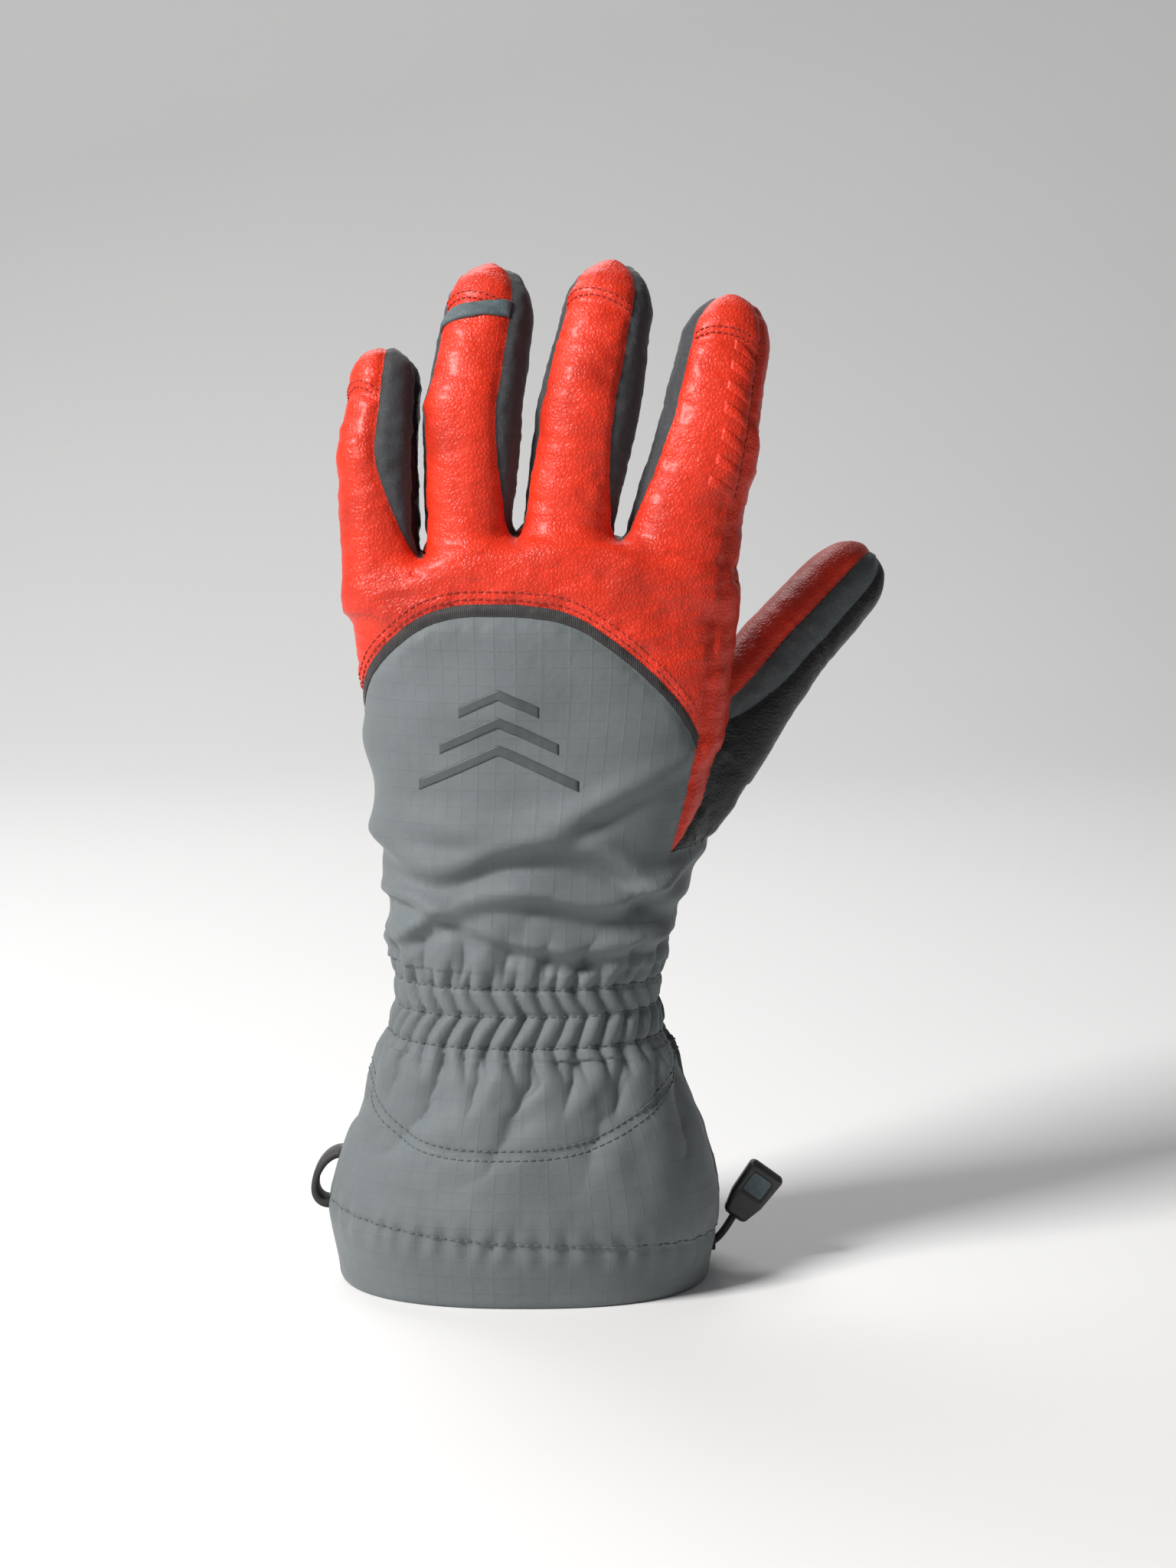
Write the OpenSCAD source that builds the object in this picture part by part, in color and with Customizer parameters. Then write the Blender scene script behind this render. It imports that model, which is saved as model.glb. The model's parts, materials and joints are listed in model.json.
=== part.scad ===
// Left-hand ski glove with a gauntlet cuff, standing on its hem with the fingers up.
// +Z runs from the hem to the fingertips, -Y is the back of the hand, +X is the thumb side.
// The origin is the centre of the hand opening, on the plane that the hem stands on.

/* [Cuff] */
// Outside width of the hem at the bottom
hem_w = 115; // [97:1:138]
// Outside depth of the hem at the bottom
hem_d = 86; // [72:1:104]
// Greatest outside width of the gauntlet
flare_w = 120; // [100:1:144]
// Greatest outside depth of the gauntlet
flare_d = 92; // [76:1:112]
// Height of the gauntlet's widest level
flare_z = 26; // [22:1:34]
// Height of the folded hem that holds the drawcord
hem_h = 20; // [16:1:26]
// Outside width at the elastic wrist
wrist_w = 80; // [66:1:96]
// Outside depth at the elastic wrist
wrist_d = 58; // [48:1:70]
// Height of the wrist's bending line
wrist_z = 86; // [76:1:104]
// Height of the gathered elastic zone
gather_h = 24; // [20:1:30]

/* [Hand] */
// Outside width at the heel of the hand
heel_w = 92; // [76:1:112]
// Outside depth at the heel of the hand
heel_d = 58; // [48:1:70]
// Outside width across the knuckles
knuckle_w = 120; // [100:1:144]
// Outside depth at the finger roots
root_d = 36; // [30:1:44]
// Height from the wrist's bending line to the highest finger root
hand_h = 146; // [122:1:175]
// Height from the wrist's bending line to the middle of the thumb's root
thumb_h = 69; // [58:1:80]

/* [Fingers] */
// Outside width of the index, middle and ring fingers
finger_w = 31; // [26:0.5:38]
// Outside width of the little finger
little_w = 25; // [21:0.5:30]
// Outside depth of the index, middle and ring fingers
finger_d = 28; // [23:0.5:34]
// Outside depth of the little finger
little_d = 25; // [21:0.5:30]
// Length of the index finger from its root
index_l = 80; // [66:1:96]
// Length of the middle finger from its root
middle_l = 84; // [70:1:101]
// Length of the ring finger from its root
ring_l = 86; // [71:1:104]
// Length of the little finger from its root
little_l = 69; // [57:1:83]
// Length of each finger from its root to its middle joint
knuckle_l = 38; // [32:1:44]
// Length of the separate leather cap over each fingertip
cap_l = 19; // [14:0.5:23]
// Outside diameter of the thumb at its root
thumb_root_w = 38; // [32:1:46]
// Outside diameter of the thumb near its tip
thumb_w = 28; // [24:1:34]
// Length of the thumb from its root
thumb_l = 94; // [80:1:112]
// Length of the thumb from its root to its joint
thumb_joint_l = 52; // [46:1:62]

/* [Layers] */
// Thickness of the shell, leather or fabric with its padding
shell_t = 2.2; // [1.6:0.1:3]
// Thickness of the bonded membrane and fleece lining
lining_t = 1.6; // [1.2:0.1:2.4]
// Thickness of the loose insulation on the back of the hand
insulation_t = 3; // [2:0.1:4.5]
// Clearance between layers
layer_gap = 0.25; // [0.15:0.05:0.5]

/* [Drawcord] */
// Diameter of the elastic drawcord
cord_d = 2.4; // [1.8:0.1:3]
// Height of the drawcord in its channel
cord_z = 8; // [7:0.5:12]
// Length of the drawcord from the hem's eyelet to the pull
cord_free = 9; // [6:0.5:14]
// Length of the moulded pull
pull_l = 19; // [15:0.5:25]
// Width of the moulded pull at its far end
pull_w = 12.5; // [10:0.5:16]
// Width of the moulded pull where the cord goes in
pull_neck_w = 8.5; // [6:0.5:10]
// Thickness of the moulded pull
pull_t = 5.5; // [4.5:0.5:7]

/* [Bending] */
// Largest bend of a finger at its root
knuckle_bend = 60; // [40:5:60]
// Largest bend of a finger at its middle joint
finger_bend = 75; // [50:5:75]
// Largest bend of the thumb at its root, towards the palm
thumb_bend = 35; // [20:5:35]
// Largest bend of the thumb at its root, away from the palm
thumb_back = 12; // [5:1:15]
// Largest bend of the thumb at its joint
thumb_tip_bend = 55; // [40:5:60]

/* [Hidden] */

RED = [0.86, 0.16, 0.09];
GREY = [0.42, 0.47, 0.48];
DARK_GREY = [0.22, 0.24, 0.25];
BLACK = [0.06, 0.06, 0.06];
FLEECE = [0.3, 0.3, 0.32];

eps = 0.01;
// Rounding of the cross-sections: 1 is an ellipse, less is boxier
section_power = 0.84;
// Play between two pieces that move against each other
joint_gap = 0.6;
// How far the finger hinges lie from the finger's middle, towards the palm
hinge_v = 4;
// Share of its width that a finger loses from its middle joint to its tip
tip_taper = 0.15;

// Depth from the outer surface at which each layer starts and ends
lining_in = shell_t + insulation_t + 2 * layer_gap;
cuff_t = shell_t * 0.6;
cuff_lining_in = cuff_t + cord_d + 1.6;

// ---- body of the glove: cuff and hand ----

root_z = wrist_z + hand_h;
heel_z = wrist_z + hand_h * 0.27;
palm_z = wrist_z + hand_h * 0.62;
// Middle of the knuckles in X
knuckle_x = 6.5;
// Each station is [height, middle in X, half width, half depth]
STATIONS = [
    [0, 0, hem_w / 2, hem_d / 2],
    [flare_z, 0, flare_w / 2, flare_d / 2],
    [wrist_z, 1, wrist_w / 2, wrist_d / 2],
    [heel_z, 3, heel_w / 2, heel_d / 2],
    [palm_z, knuckle_x, (heel_w + 2 * knuckle_w) / 6, (heel_d + root_d) / 4 + 1.5],
    [root_z, knuckle_x, knuckle_w / 2 + 1.5, root_d / 2]
];

function station_slope(i, k) =
    let (lo = max(i - 1, 0), hi = min(i + 1, len(STATIONS) - 1))
    (STATIONS[hi][k] - STATIONS[lo][k]) / (STATIONS[hi][0] - STATIONS[lo][0]);

// A smooth value of column k of the stations at height z
function station(z, k) =
    let (i = max([0, for (n = [0 : len(STATIONS) - 2]) if (z >= STATIONS[n][0]) n]),
         a = STATIONS[i], b = STATIONS[i + 1], h = b[0] - a[0],
         t = min(1, max(0, (z - a[0]) / h)),
         a_slope = i == 0 ? 0 : station_slope(i, k) * h,
         b_slope = station_slope(i + 1, k) * h)
    (2 * t ^ 3 - 3 * t ^ 2 + 1) * a[k] + (t ^ 3 - 2 * t ^ 2 + t) * a_slope
        + (3 * t ^ 2 - 2 * t ^ 3) * b[k] + (t ^ 3 - t ^ 2) * b_slope;

function boxy(v) = sign(v) * abs(v) ^ section_power;

// A point of the body at angle a, where 0 is the thumb side and 90 the back of the hand
function body_pt(a, z, inset = 0) = [
    station(z, 1) + (station(z, 2) - inset) * boxy(cos(a)),
    -(station(z, 3) - inset) * boxy(sin(a)),
    z
];

// The height of the finger roots, an arc that is highest at the middle finger
function roots_z(x) = root_z - 16 * ((x - knuckle_x - 3.5) / (knuckle_w / 2)) ^ 2;
function body_top(a) = roots_z(body_pt(a, root_z)[0]);

// ---- solids from grids of points ----

// A closed solid between an outer and an inner grid; closed joins each row's ends
module slab(outer, inner, closed = false) {
    rows = len(outer);
    cols = len(outer[0]);
    n = rows * cols;
    last = closed ? cols - 1 : cols - 2;
    function id(r, c) = r * cols + (c % cols);
    function quad(a, b, c, d) = [[a, b, c], [a, c, d]];
    skin = [for (r = [0 : rows - 2]) for (c = [0 : last])
        each quad(id(r, c), id(r, c + 1), id(r + 1, c + 1), id(r + 1, c))];
    back = [for (t = skin) [t[2] + n, t[1] + n, t[0] + n]];
    ends = [for (c = [0 : last]) each concat(
        quad(id(0, c) + n, id(0, c + 1) + n, id(0, c + 1), id(0, c)),
        quad(id(rows - 1, c), id(rows - 1, c + 1), id(rows - 1, c + 1) + n, id(rows - 1, c) + n))];
    sides = closed ? [] : [for (r = [0 : rows - 2]) let (e = cols - 1) each concat(
        quad(id(r, 0), id(r + 1, 0), id(r + 1, 0) + n, id(r, 0) + n),
        quad(id(r, e) + n, id(r + 1, e) + n, id(r + 1, e), id(r, e)))];
    polyhedron(points = concat([for (row = outer) each row], [for (row = inner) each row]),
               faces = concat(skin, back, ends, sides));
}

// A solid with a flat face at each end, through rows of points round it
module plug(grid) {
    n = len(grid[0]);
    top = (len(grid) - 1) * n;
    polyhedron(points = [for (row = grid) each row], faces = concat(
        [[for (k = [n - 1 : -1 : 0]) k], [for (k = [0 : n - 1]) top + k]],
        [for (r = [0 : len(grid) - 2]) for (c = [0 : n - 1]) let (d = (c + 1) % n)
            each [[r * n + c, r * n + d, r * n + n + d], [r * n + c, r * n + n + d, r * n + n + c]]]));
}

// Angles and heights of a body panel, whose four borders are functions
function body_grid(a_lo, a_hi, z_lo, z_hi, cols, rows) =
    [for (r = [0 : rows]) [for (c = [0 : cols])
        let (v = r / rows, a = a_lo(v) + (a_hi(v) - a_lo(v)) * c / cols)
        [a, z_lo(a) + (z_hi(a) - z_lo(a)) * v]]];

function on_body(grid, inset) = [for (row = grid) [for (p = row) body_pt(p[0], p[1], inset)]];

module body_panel(grid, out, in, closed = false) {
    slab(on_body(grid, out), on_body(grid, in), closed);
}

function ring_grid(z_lo, z_hi, cols, rows) =
    [for (r = [0 : rows]) [for (c = [0 : cols - 1]) [360 * c / cols, z_lo + (z_hi - z_lo) * r / rows]]];

module body_ring(z_lo, z_hi, out, in, rows = 8, cols = 40) {
    body_panel(ring_grid(z_lo, z_hi, cols, rows), out, in, closed = true);
}

// A closed ring swept round the body, whose profile is a list of [inset, height]
module body_sweep(profile, cols = 48) {
    m = len(profile);
    points = [for (c = [0 : cols - 1]) for (p = profile) body_pt(360 * c / cols, p[1], p[0])];
    function id(c, k) = (c % cols) * m + k % m;
    polyhedron(points = points, faces = [for (c = [0 : cols - 1]) for (k = [0 : m - 1])
        each [[id(c, k), id(c + 1, k), id(c + 1, k + 1)], [id(c, k), id(c + 1, k + 1), id(c, k + 1)]]]);
}

// ---- fingers and thumb ----

// Each digit is [root, base lean, tip lean, base tilt, tip tilt, root width, width, depth,
// length to its middle joint, whole length, angles where the back, left, palm and right begin]
function digit(root, leans, tilts, widths, depth, lengths, angles) =
    [root, leans[0], leans[1], tilts[0], tilts[1], widths[0], widths[1], depth, lengths[0], lengths[1],
     angles];

function root_at(x) = [x, 0, roots_z(x)];
// Places of the finger roots across the knuckles
little_x = knuckle_x - knuckle_w * 0.412;
ring_x = knuckle_x - knuckle_w * 0.192;
middle_x = knuckle_x + knuckle_w * 0.058;
index_x = knuckle_x + knuckle_w * 0.345;
// Widths that the knuckles give the fingers at their roots, with gaps between them
little_root_w = knuckle_w * 0.196;
ring_root_w = knuckle_w * 0.221;
middle_root_w = knuckle_w * 0.233;
index_root_w = knuckle_w * 0.3;

LITTLE = digit(root_at(little_x), [-2, 5.6], [5, 22], [little_root_w, little_w], little_d,
               [knuckle_l * 0.9, little_l], [92, 200, 200, 382]);
RING = digit(root_at(ring_x), [2.5, 9], [5, 24], [ring_root_w, finger_w], finger_d,
             [knuckle_l * 1.04, ring_l], [65, 170, 240, 355]);
MIDDLE = digit(root_at(middle_x), [10, 12], [5, 22], [middle_root_w, finger_w], finger_d,
               [knuckle_l * 1.05, middle_l], [62, 165, 235, 352]);
INDEX = digit(root_at(index_x), [13, 12], [5, 20], [index_root_w, finger_w], finger_d,
              [knuckle_l, index_l], [-40, 142, 215, 320]);
thumb_root = [heel_w / 2 + 3.5, 13, wrist_z + thumb_h];
THUMB = digit(thumb_root, [40, 45], [17, 22], [thumb_root_w, thumb_w], thumb_w,
              [thumb_joint_l, thumb_l], [100, 215, 245, 420]);
FINGERS = [["index", INDEX], ["middle", MIDDLE], ["ring", RING], ["little", LITTLE]];

function along(lean, tilt) = [sin(lean) * cos(tilt), sin(tilt), cos(lean) * cos(tilt)];
function across(lean) = [cos(lean), 0, -sin(lean)];
// Directions of a digit's base or tip: along it, to its right and towards the palm
function axes_of(d, tip) =
    let (b = along(tip ? d[2] : d[1], tip ? d[4] : d[3]), u = across(tip ? d[2] : d[1]))
    [b, u, cross(b, u)];
function middle_joint(d) = d[0] + along(d[1], d[3]) * d[8];

// How the cross-section shrinks over the rounded fingertip
function tip_round(d, s, inset) =
    let (r = d[7] * 0.55 - inset, from = d[9] - inset - r, k = min(1, max(0, (s - from) / r)))
    sqrt(1 - min(0.996, k ^ 2));
// A digit widens or narrows from its root to its joint, and then tapers to its tip
function half_width(d, s) =
    let (knee = d[8] * 0.9, t = min(1, max(0, s / knee)), k = min(1, max(0, (s - knee) / (d[9] - knee))))
    (d[5] + (d[6] - d[5]) * t) / 2 * (1 - tip_taper * k);

// A point of a digit's skin: s along it, a round it, and a depth below the surface
function digit_pt(d, tip, s, a, inset) =
    let (ax = axes_of(d, tip), start = tip ? middle_joint(d) : d[0], from = tip ? d[8] : 0,
         k = tip_round(d, s, inset))
    start + ax[0] * (s - from) + ax[1] * (half_width(d, s) - inset) * k * boxy(cos(a))
        - ax[2] * (d[7] / 2 - inset) * k * boxy(sin(a));
// How far a skin point lies behind the hinge line, towards the palm
function behind(d, a, inset) = -(d[7] / 2 - inset) * boxy(sin(a)) - hinge_v;

// The end of a digit's piece at a hinge: cut back on the palm side so that it can bend, and
// a little on the back side so that it can straighten
function cut(d, a, inset, bend, back_bend) =
    let (v = behind(d, a, inset))
    joint_gap + (v > 0 ? v * tan(bend / 2) : -v * tan(back_bend / 2));
// The same at the middle joint, where the tip already leans and tilts away from the base
function middle_cut(d, a, inset) =
    let (v = behind(d, a, inset), u = (d[6] / 2 - inset) * boxy(cos(a)), tilt = (d[4] - d[3]) / 2)
    joint_gap + u * tan((d[2] - d[1]) / 2) + (v + hinge_v) * tan(tilt)
        + max(0, v) * (tan(tilt + tip_bend(d) / 2) - tan(tilt));

// Largest backward bend of a finger or thumb at its root
back_bend = 8;
function base_lo(d, a, inset) = cut(d, a, inset, knuckle_bend + d[3], 2 * back_bend);
function tip_bend(d) = d == THUMB ? thumb_tip_bend : finger_bend;
function base_hi(d, a, inset) = d[8] - middle_cut(d, a, inset);
function tip_lo(d, a, inset) = d[8] + middle_cut(d, a, inset);
function tip_hi(d, a, inset) = d[9] - inset - eps;

// Rows are spread evenly along the base, and closer together over the rounded tip
function row_share(tip, v) = tip ? sin(90 * v) : v;

function digit_grid(d, tip, a0, a1, lo, hi, inset, cols, rows) =
    [for (r = [0 : rows]) [for (c = [0 : cols])
        let (a = a0 + (a1 - a0) * c / cols, s0 = lo(a, inset), s1 = hi(a, inset))
        digit_pt(d, tip, s0 + (s1 - s0) * row_share(tip, r / rows), a, inset)]];

// A piece of a digit's wall between two angles, lo and hi being functions of angle and inset
module digit_wall(d, tip, a0, a1, lo, hi, out = 0, in = shell_t, closed = false) {
    cols = max(3, ceil(abs(a1 - a0) / 18));
    last = closed ? cols - 1 : cols;
    rows = tip ? 7 : 4;
    outer = digit_grid(d, tip, a0, a1, lo, hi, out, cols, rows);
    inner = digit_grid(d, tip, a0, a1, lo, hi, in, cols, rows);
    slab([for (row = outer) [for (c = [0 : last]) row[c]]],
         [for (row = inner) [for (c = [0 : last]) row[c]]], closed);
}

module base_wall(d, a0, a1) {
    digit_wall(d, false, a0, a1, function(a, i) base_lo(d, a, i), function(a, i) base_hi(d, a, i));
}

module tip_wall(d, a0, a1) {
    digit_wall(d, true, a0, a1, function(a, i) tip_lo(d, a, i), function(a, i) tip_hi(d, a, i));
}

// Angles of the wall pieces: back, left side, palm and right side
function back_of(d) = [d[10][0], d[10][1]];
function left_of(d) = [d[10][1], d[10][2]];
function palm_of(d) = [d[10][2], d[10][3]];
function right_of(d) = [d[10][3] - 360, d[10][0]];

module finger_base_back(d) {
    color(RED) base_wall(d, back_of(d)[0], back_of(d)[1]);
}

module finger_tip_back(d) {
    color(RED) digit_wall(d, true, back_of(d)[0], back_of(d)[1], function(a, i) tip_lo(d, a, i),
                          function(a, i) d[9] - cap_l - eps);
}

module finger_tip_cap(d) {
    color(RED) digit_wall(d, true, back_of(d)[0], back_of(d)[1], function(a, i) d[9] - cap_l,
                          function(a, i) tip_hi(d, a, i));
}

// The fourchettes: strips that join the back to the palm on the sides that face a neighbour
module finger_sides(d, tip) {
    color(DARK_GREY) for (side = [left_of(d), right_of(d)]) if (side[1] > side[0]) {
        if (tip) tip_wall(d, side[0], side[1]);
        else base_wall(d, side[0], side[1]);
    }
}

module finger_palm(d, tip) {
    color(BLACK) {
        if (tip) tip_wall(d, palm_of(d)[0], palm_of(d)[1]);
        else base_wall(d, palm_of(d)[0], palm_of(d)[1]);
    }
}

module finger_lining(d) {
    from = shell_t + layer_gap;
    color(FLEECE) digit_wall(d, false, 0, 360, function(a, i) base_lo(d, a, i),
                             function(a, i) base_hi(d, a, i), from, from + lining_t, closed = true);
}

module finger_piece(d, p) {
    if (p == "base_back") finger_base_back(d);
    if (p == "base_sides") finger_sides(d, false);
    if (p == "base_palm") finger_palm(d, false);
    if (p == "base_lining") finger_lining(d);
    if (p == "tip_back") finger_tip_back(d);
    if (p == "tip_cap") finger_tip_cap(d);
    if (p == "tip_sides") finger_sides(d, true);
    if (p == "tip_palm") finger_palm(d, true);
}

// The reflective band sewn across the back of the ring finger's tip
module ring_band() {
    band_from = RING[9] - cap_l - 7;
    band_h = 5;
    color(DARK_GREY) digit_wall(RING, true, back_of(RING)[0], back_of(RING)[1],
        function(a, i) band_from, function(a, i) band_from + band_h, -0.8, -eps);
}

// ---- thumb ----

// Distance along the thumb at which it starts to swing
thumb_hinge = 14;
function thumb_lo(a, i) = thumb_hinge + cut(THUMB, a, i, thumb_bend, thumb_back);

module thumb_base_wall(a0, a1) {
    digit_wall(THUMB, false, a0, a1, function(a, i) thumb_lo(a, i),
               function(a, i) base_hi(THUMB, a, i));
}

module thumb_base_back() {
    color(RED) thumb_base_wall(THUMB[10][0], THUMB[10][1]);
}

// Strips on the front and on the far side of the thumb, between its back and its palm
module thumb_base_strip() {
    color(GREY) {
        thumb_base_wall(THUMB[10][3] - 360, THUMB[10][0]);
        thumb_base_wall(THUMB[10][1], THUMB[10][2]);
    }
}

module thumb_base_palm() {
    color(BLACK) thumb_base_wall(THUMB[10][2], THUMB[10][3]);
}

module thumb_tip_strip() {
    color(GREY) {
        tip_wall(THUMB, THUMB[10][3] - 360, THUMB[10][0]);
        tip_wall(THUMB, THUMB[10][1], THUMB[10][2]);
    }
}

module thumb_tip_back() {
    color(RED) tip_wall(THUMB, THUMB[10][0], THUMB[10][1]);
}

module thumb_tip_palm() {
    color(BLACK) tip_wall(THUMB, THUMB[10][2], THUMB[10][3]);
}

// The solid core of the thumb's root, which opens the hand's layers for the thumb
module thumb_core(inset) {
    plug([for (s = [-24, -12, 0, thumb_hinge + 8])
        [for (a = [0 : 18 : 342]) digit_pt(THUMB, false, s, a, inset)]]);
}

// The space that the thumb's base sweeps as it swings, kept clear of the hand's layers
module thumb_sweep() {
    reach = 46;
    pivot = thumb_root + along(THUMB[1], THUMB[3]) * thumb_hinge;
    for (k = [-thumb_back, 0, thumb_bend / 3, thumb_bend * 2 / 3, thumb_bend])
        translate(pivot) rotate(a = -k, v = across(THUMB[1])) translate(-pivot)
            plug([for (s = [thumb_hinge, (thumb_hinge + reach) / 2, reach])
                [for (a = [0 : 18 : 342]) digit_pt(THUMB, false, s, a, -joint_gap)]]);
}

// The short leather root of the thumb, part of the palm
module thumb_stub() {
    digit_wall(THUMB, false, 0, 360, function(a, i) -20,
               function(a, i) thumb_hinge - cut(THUMB, a, i, thumb_bend, thumb_back),
               0, shell_t, closed = true);
}

// The solid space within the hand's shell
module hand_space(inset) {
    plug(on_body(ring_grid(wrist_z - 20, root_z, 40, 10), inset));
}

// ---- hand panels ----

// Angles between which the woven back panel lies
back_lo = 31;
back_hi = 200;
// Height of the back panel's upper edge, level over the middle and sloping to both sides
panel_top = root_z - 21;
slope_drop = 41;
function panel_z(a) =
    a < 88 ? panel_top - slope_drop * (88 - a) / (88 - back_lo)
    : a > 118 ? panel_top - slope_drop * (a - 118) / (back_hi - 118)
    : panel_top;
binding_w = 3.4;
// Clearance between panels that are sewn edge to edge
seam_gap = 0.08;
// Half height of the open band that the elastic wrist bridges
wrist_gap = gather_h / 2;
hand_lo = wrist_z + wrist_gap;
cuff_hi = wrist_z - wrist_gap;
// Height at which the side panel ends in a point, and the rise of its slanted foot
side_foot = wrist_z + 49;
side_rise = 32;
side_lo = -25;
function side_z(a) = side_foot + side_rise * (back_lo - a) / (back_lo - side_lo);

module back_panel() {
    low = [for (r = [0 : 3]) [for (c = [0 : 24])
        [side_lo + (back_hi - side_lo) * c / 24, hand_lo + (side_foot - hand_lo) * r / 3]]];
    high = body_grid(function(v) back_lo, function(v) back_hi, function(a) side_foot,
                     function(a) panel_z(a) - binding_w, 20, 7);
    color(GREY) difference() {
        union() {
            body_panel(low, 0, shell_t);
            body_panel(high, 0, shell_t);
        }
        thumb_core(0);
        thumb_sweep();
    }
}

module back_binding() {
    color(BLACK) body_panel(body_grid(function(v) back_lo, function(v) back_hi,
        function(a) panel_z(a) - binding_w + seam_gap, function(a) panel_z(a) - seam_gap, 20, 1),
        -0.6, shell_t);
}

module knuckle_leather() {
    color(RED) body_panel(body_grid(function(v) back_lo, function(v) back_hi,
        function(a) panel_z(a), function(a) body_top(a) - joint_gap, 20, 4), 0, shell_t);
}

module side_panel() {
    color(RED) difference() {
        body_panel(body_grid(function(v) side_lo, function(v) back_lo, function(a) side_z(a),
            function(a) body_top(a) - joint_gap, 5, 8), 0, shell_t);
        thumb_core(0);
        thumb_sweep();
    }
}

// The palm side stops lower, which leaves the fingers room to bend
function palm_drop(a) = max(0, (root_d / 2 - hinge_v) * tan(knuckle_bend / 2) * -sin(a));
function palm_top(a) = body_top(a) - joint_gap - palm_drop(a);

module palm_leather() {
    color(BLACK) {
        difference() {
            union() {
                body_panel(body_grid(function(v) back_hi, function(v) side_lo + 360,
                    function(a) hand_lo, function(a) palm_top(a), 16, 7), 0, shell_t);
                // The corner under the side panel's slanted foot
                body_panel(body_grid(function(v) side_lo, function(v) back_lo - 1,
                    function(a) side_foot + seam_gap, function(a) side_z(a) - seam_gap, 8, 2), 0, shell_t);
            }
            thumb_core(0);
            thumb_sweep();
        }
        difference() {
            thumb_stub();
            hand_space(0);
        }
    }
}

// Small saddles of fabric that join the back to the palm in the crotches between the fingers
gusset_h = 2;
// Depth of the gussets' lower edge below the finger roots, past the palm side's cut-back edge
web_depth = joint_gap + palm_drop(270) + gusset_h + 1;
module web_gussets() {
    gusset_w = 2.4;
    color(DARK_GREY) for (pair = [[LITTLE, RING], [RING, MIDDLE], [MIDDLE, INDEX]]) {
        x = (pair[0][0][0] + pair[0][5] / 2 + pair[1][0][0] - pair[1][5] / 2) / 2;
        intersection() {
            translate([x - gusset_w / 2, -root_d, roots_z(x) - web_depth])
                cube([gusset_w, 2 * root_d, gusset_h]);
            hand_space(shell_t + 0.05);
        }
    }
}

module hand_insulation() {
    from = shell_t + layer_gap;
    color("white") difference() {
        body_panel(body_grid(function(v) 15, function(v) 165, function(a) hand_lo + 2,
            function(a) body_top(a) - 14, 14, 6), from, from + insulation_t);
        thumb_core(0);
        thumb_sweep();
    }
}

module hand_lining() {
    rows = 8;
    grid = [for (r = [0 : rows]) [for (c = [0 : 39]) let (a = 9 * c)
        [a, hand_lo + (body_top(a) - web_depth - 1.2 - hand_lo) * r / rows]]];
    color(FLEECE) difference() {
        body_panel(grid, lining_in, lining_in + lining_t, closed = true);
        thumb_core(0);
        thumb_sweep();
    }
}

// ---- cuff ----

channel_t = 0.9;
channel_in = cuff_lining_in - channel_t;

// The hem folds up inside, which makes the drawcord's channel
module hem_band() {
    color(GREY) difference() {
        body_sweep([[0, 0], [0, hem_h], [cuff_t, hem_h], [cuff_t, channel_t], [channel_in, channel_t],
                    [channel_in, hem_h], [channel_in + channel_t, hem_h], [channel_in + channel_t, 0]]);
        cord_exit(cord_d + cord_play);
        // The eyelet's seat
        translate(exit_point() + [0.05, 0, 0]) rotate([0, 90, 0]) cylinder(d = eyelet_d + 0.1, h = 3, $fn = 40);
    }
}

module hem_cord() {
    middle = (cuff_t + channel_in) / 2;
    r = cord_d / 2;
    color(BLACK) difference() {
        body_sweep([for (k = [0 : 7]) [middle + r * sin(45 * k), cord_z + r * cos(45 * k)]]);
        // Its ends leave the channel here
        translate(exit_point() - [8, 2, 3]) cube([12, 4, 6]);
    }
}

// Angles between which the front of the cuff is a separate dark panel
front_lo = -150;
front_hi = -8;
// The inset's lower seam: level at the bottom, rising to both sides
inset_floor = wrist_z - 39;
function inset_z(a) =
    a < 80 ? inset_floor + (cuff_hi - 3 - inset_floor) * min(1, (80 - a) / 78)
    : a > 118 ? inset_floor + (cuff_hi - 3 - inset_floor) * min(1, (a - 118) / 82)
    : inset_floor;

module gauntlet_back() {
    color(GREY) body_panel(body_grid(function(v) front_hi, function(v) front_lo + 360,
        function(a) hem_h + eps, function(a) inset_z(a), 26, 5), 0, cuff_t);
}

module gauntlet_inset() {
    color(GREY) body_panel(body_grid(function(v) front_hi, function(v) front_lo + 360,
        function(a) inset_z(a), function(a) cuff_hi, 26, 4), 0, cuff_t);
}

module gauntlet_front() {
    color(BLACK) body_panel(body_grid(function(v) front_lo, function(v) front_hi,
        function(a) hem_h + eps, function(a) cuff_hi, 18, 6), 0, cuff_t);
}

module cuff_lining() {
    color(FLEECE) body_ring(channel_t + 1, cuff_hi, cuff_lining_in + layer_gap,
                            cuff_lining_in + layer_gap + lining_t, rows = 7);
}

// The shell fabric over the elastic, which gives as the wrist bends
module wrist_gather() {
    color(GREY) body_ring(cuff_hi + eps, hand_lo - eps, 0, cuff_t, rows = 4);
}

// Rows of elastic tape under the gathers
module wrist_elastic() {
    tape_h = gather_h / 6;
    color(BLACK) for (k = [-1, 0, 1]) {
        z = wrist_z + k * gather_h * 0.33;
        body_ring(z - tape_h / 2, z + tape_h / 2, cuff_t + layer_gap, cuff_t + layer_gap + 1, rows = 1);
    }
}

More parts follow.
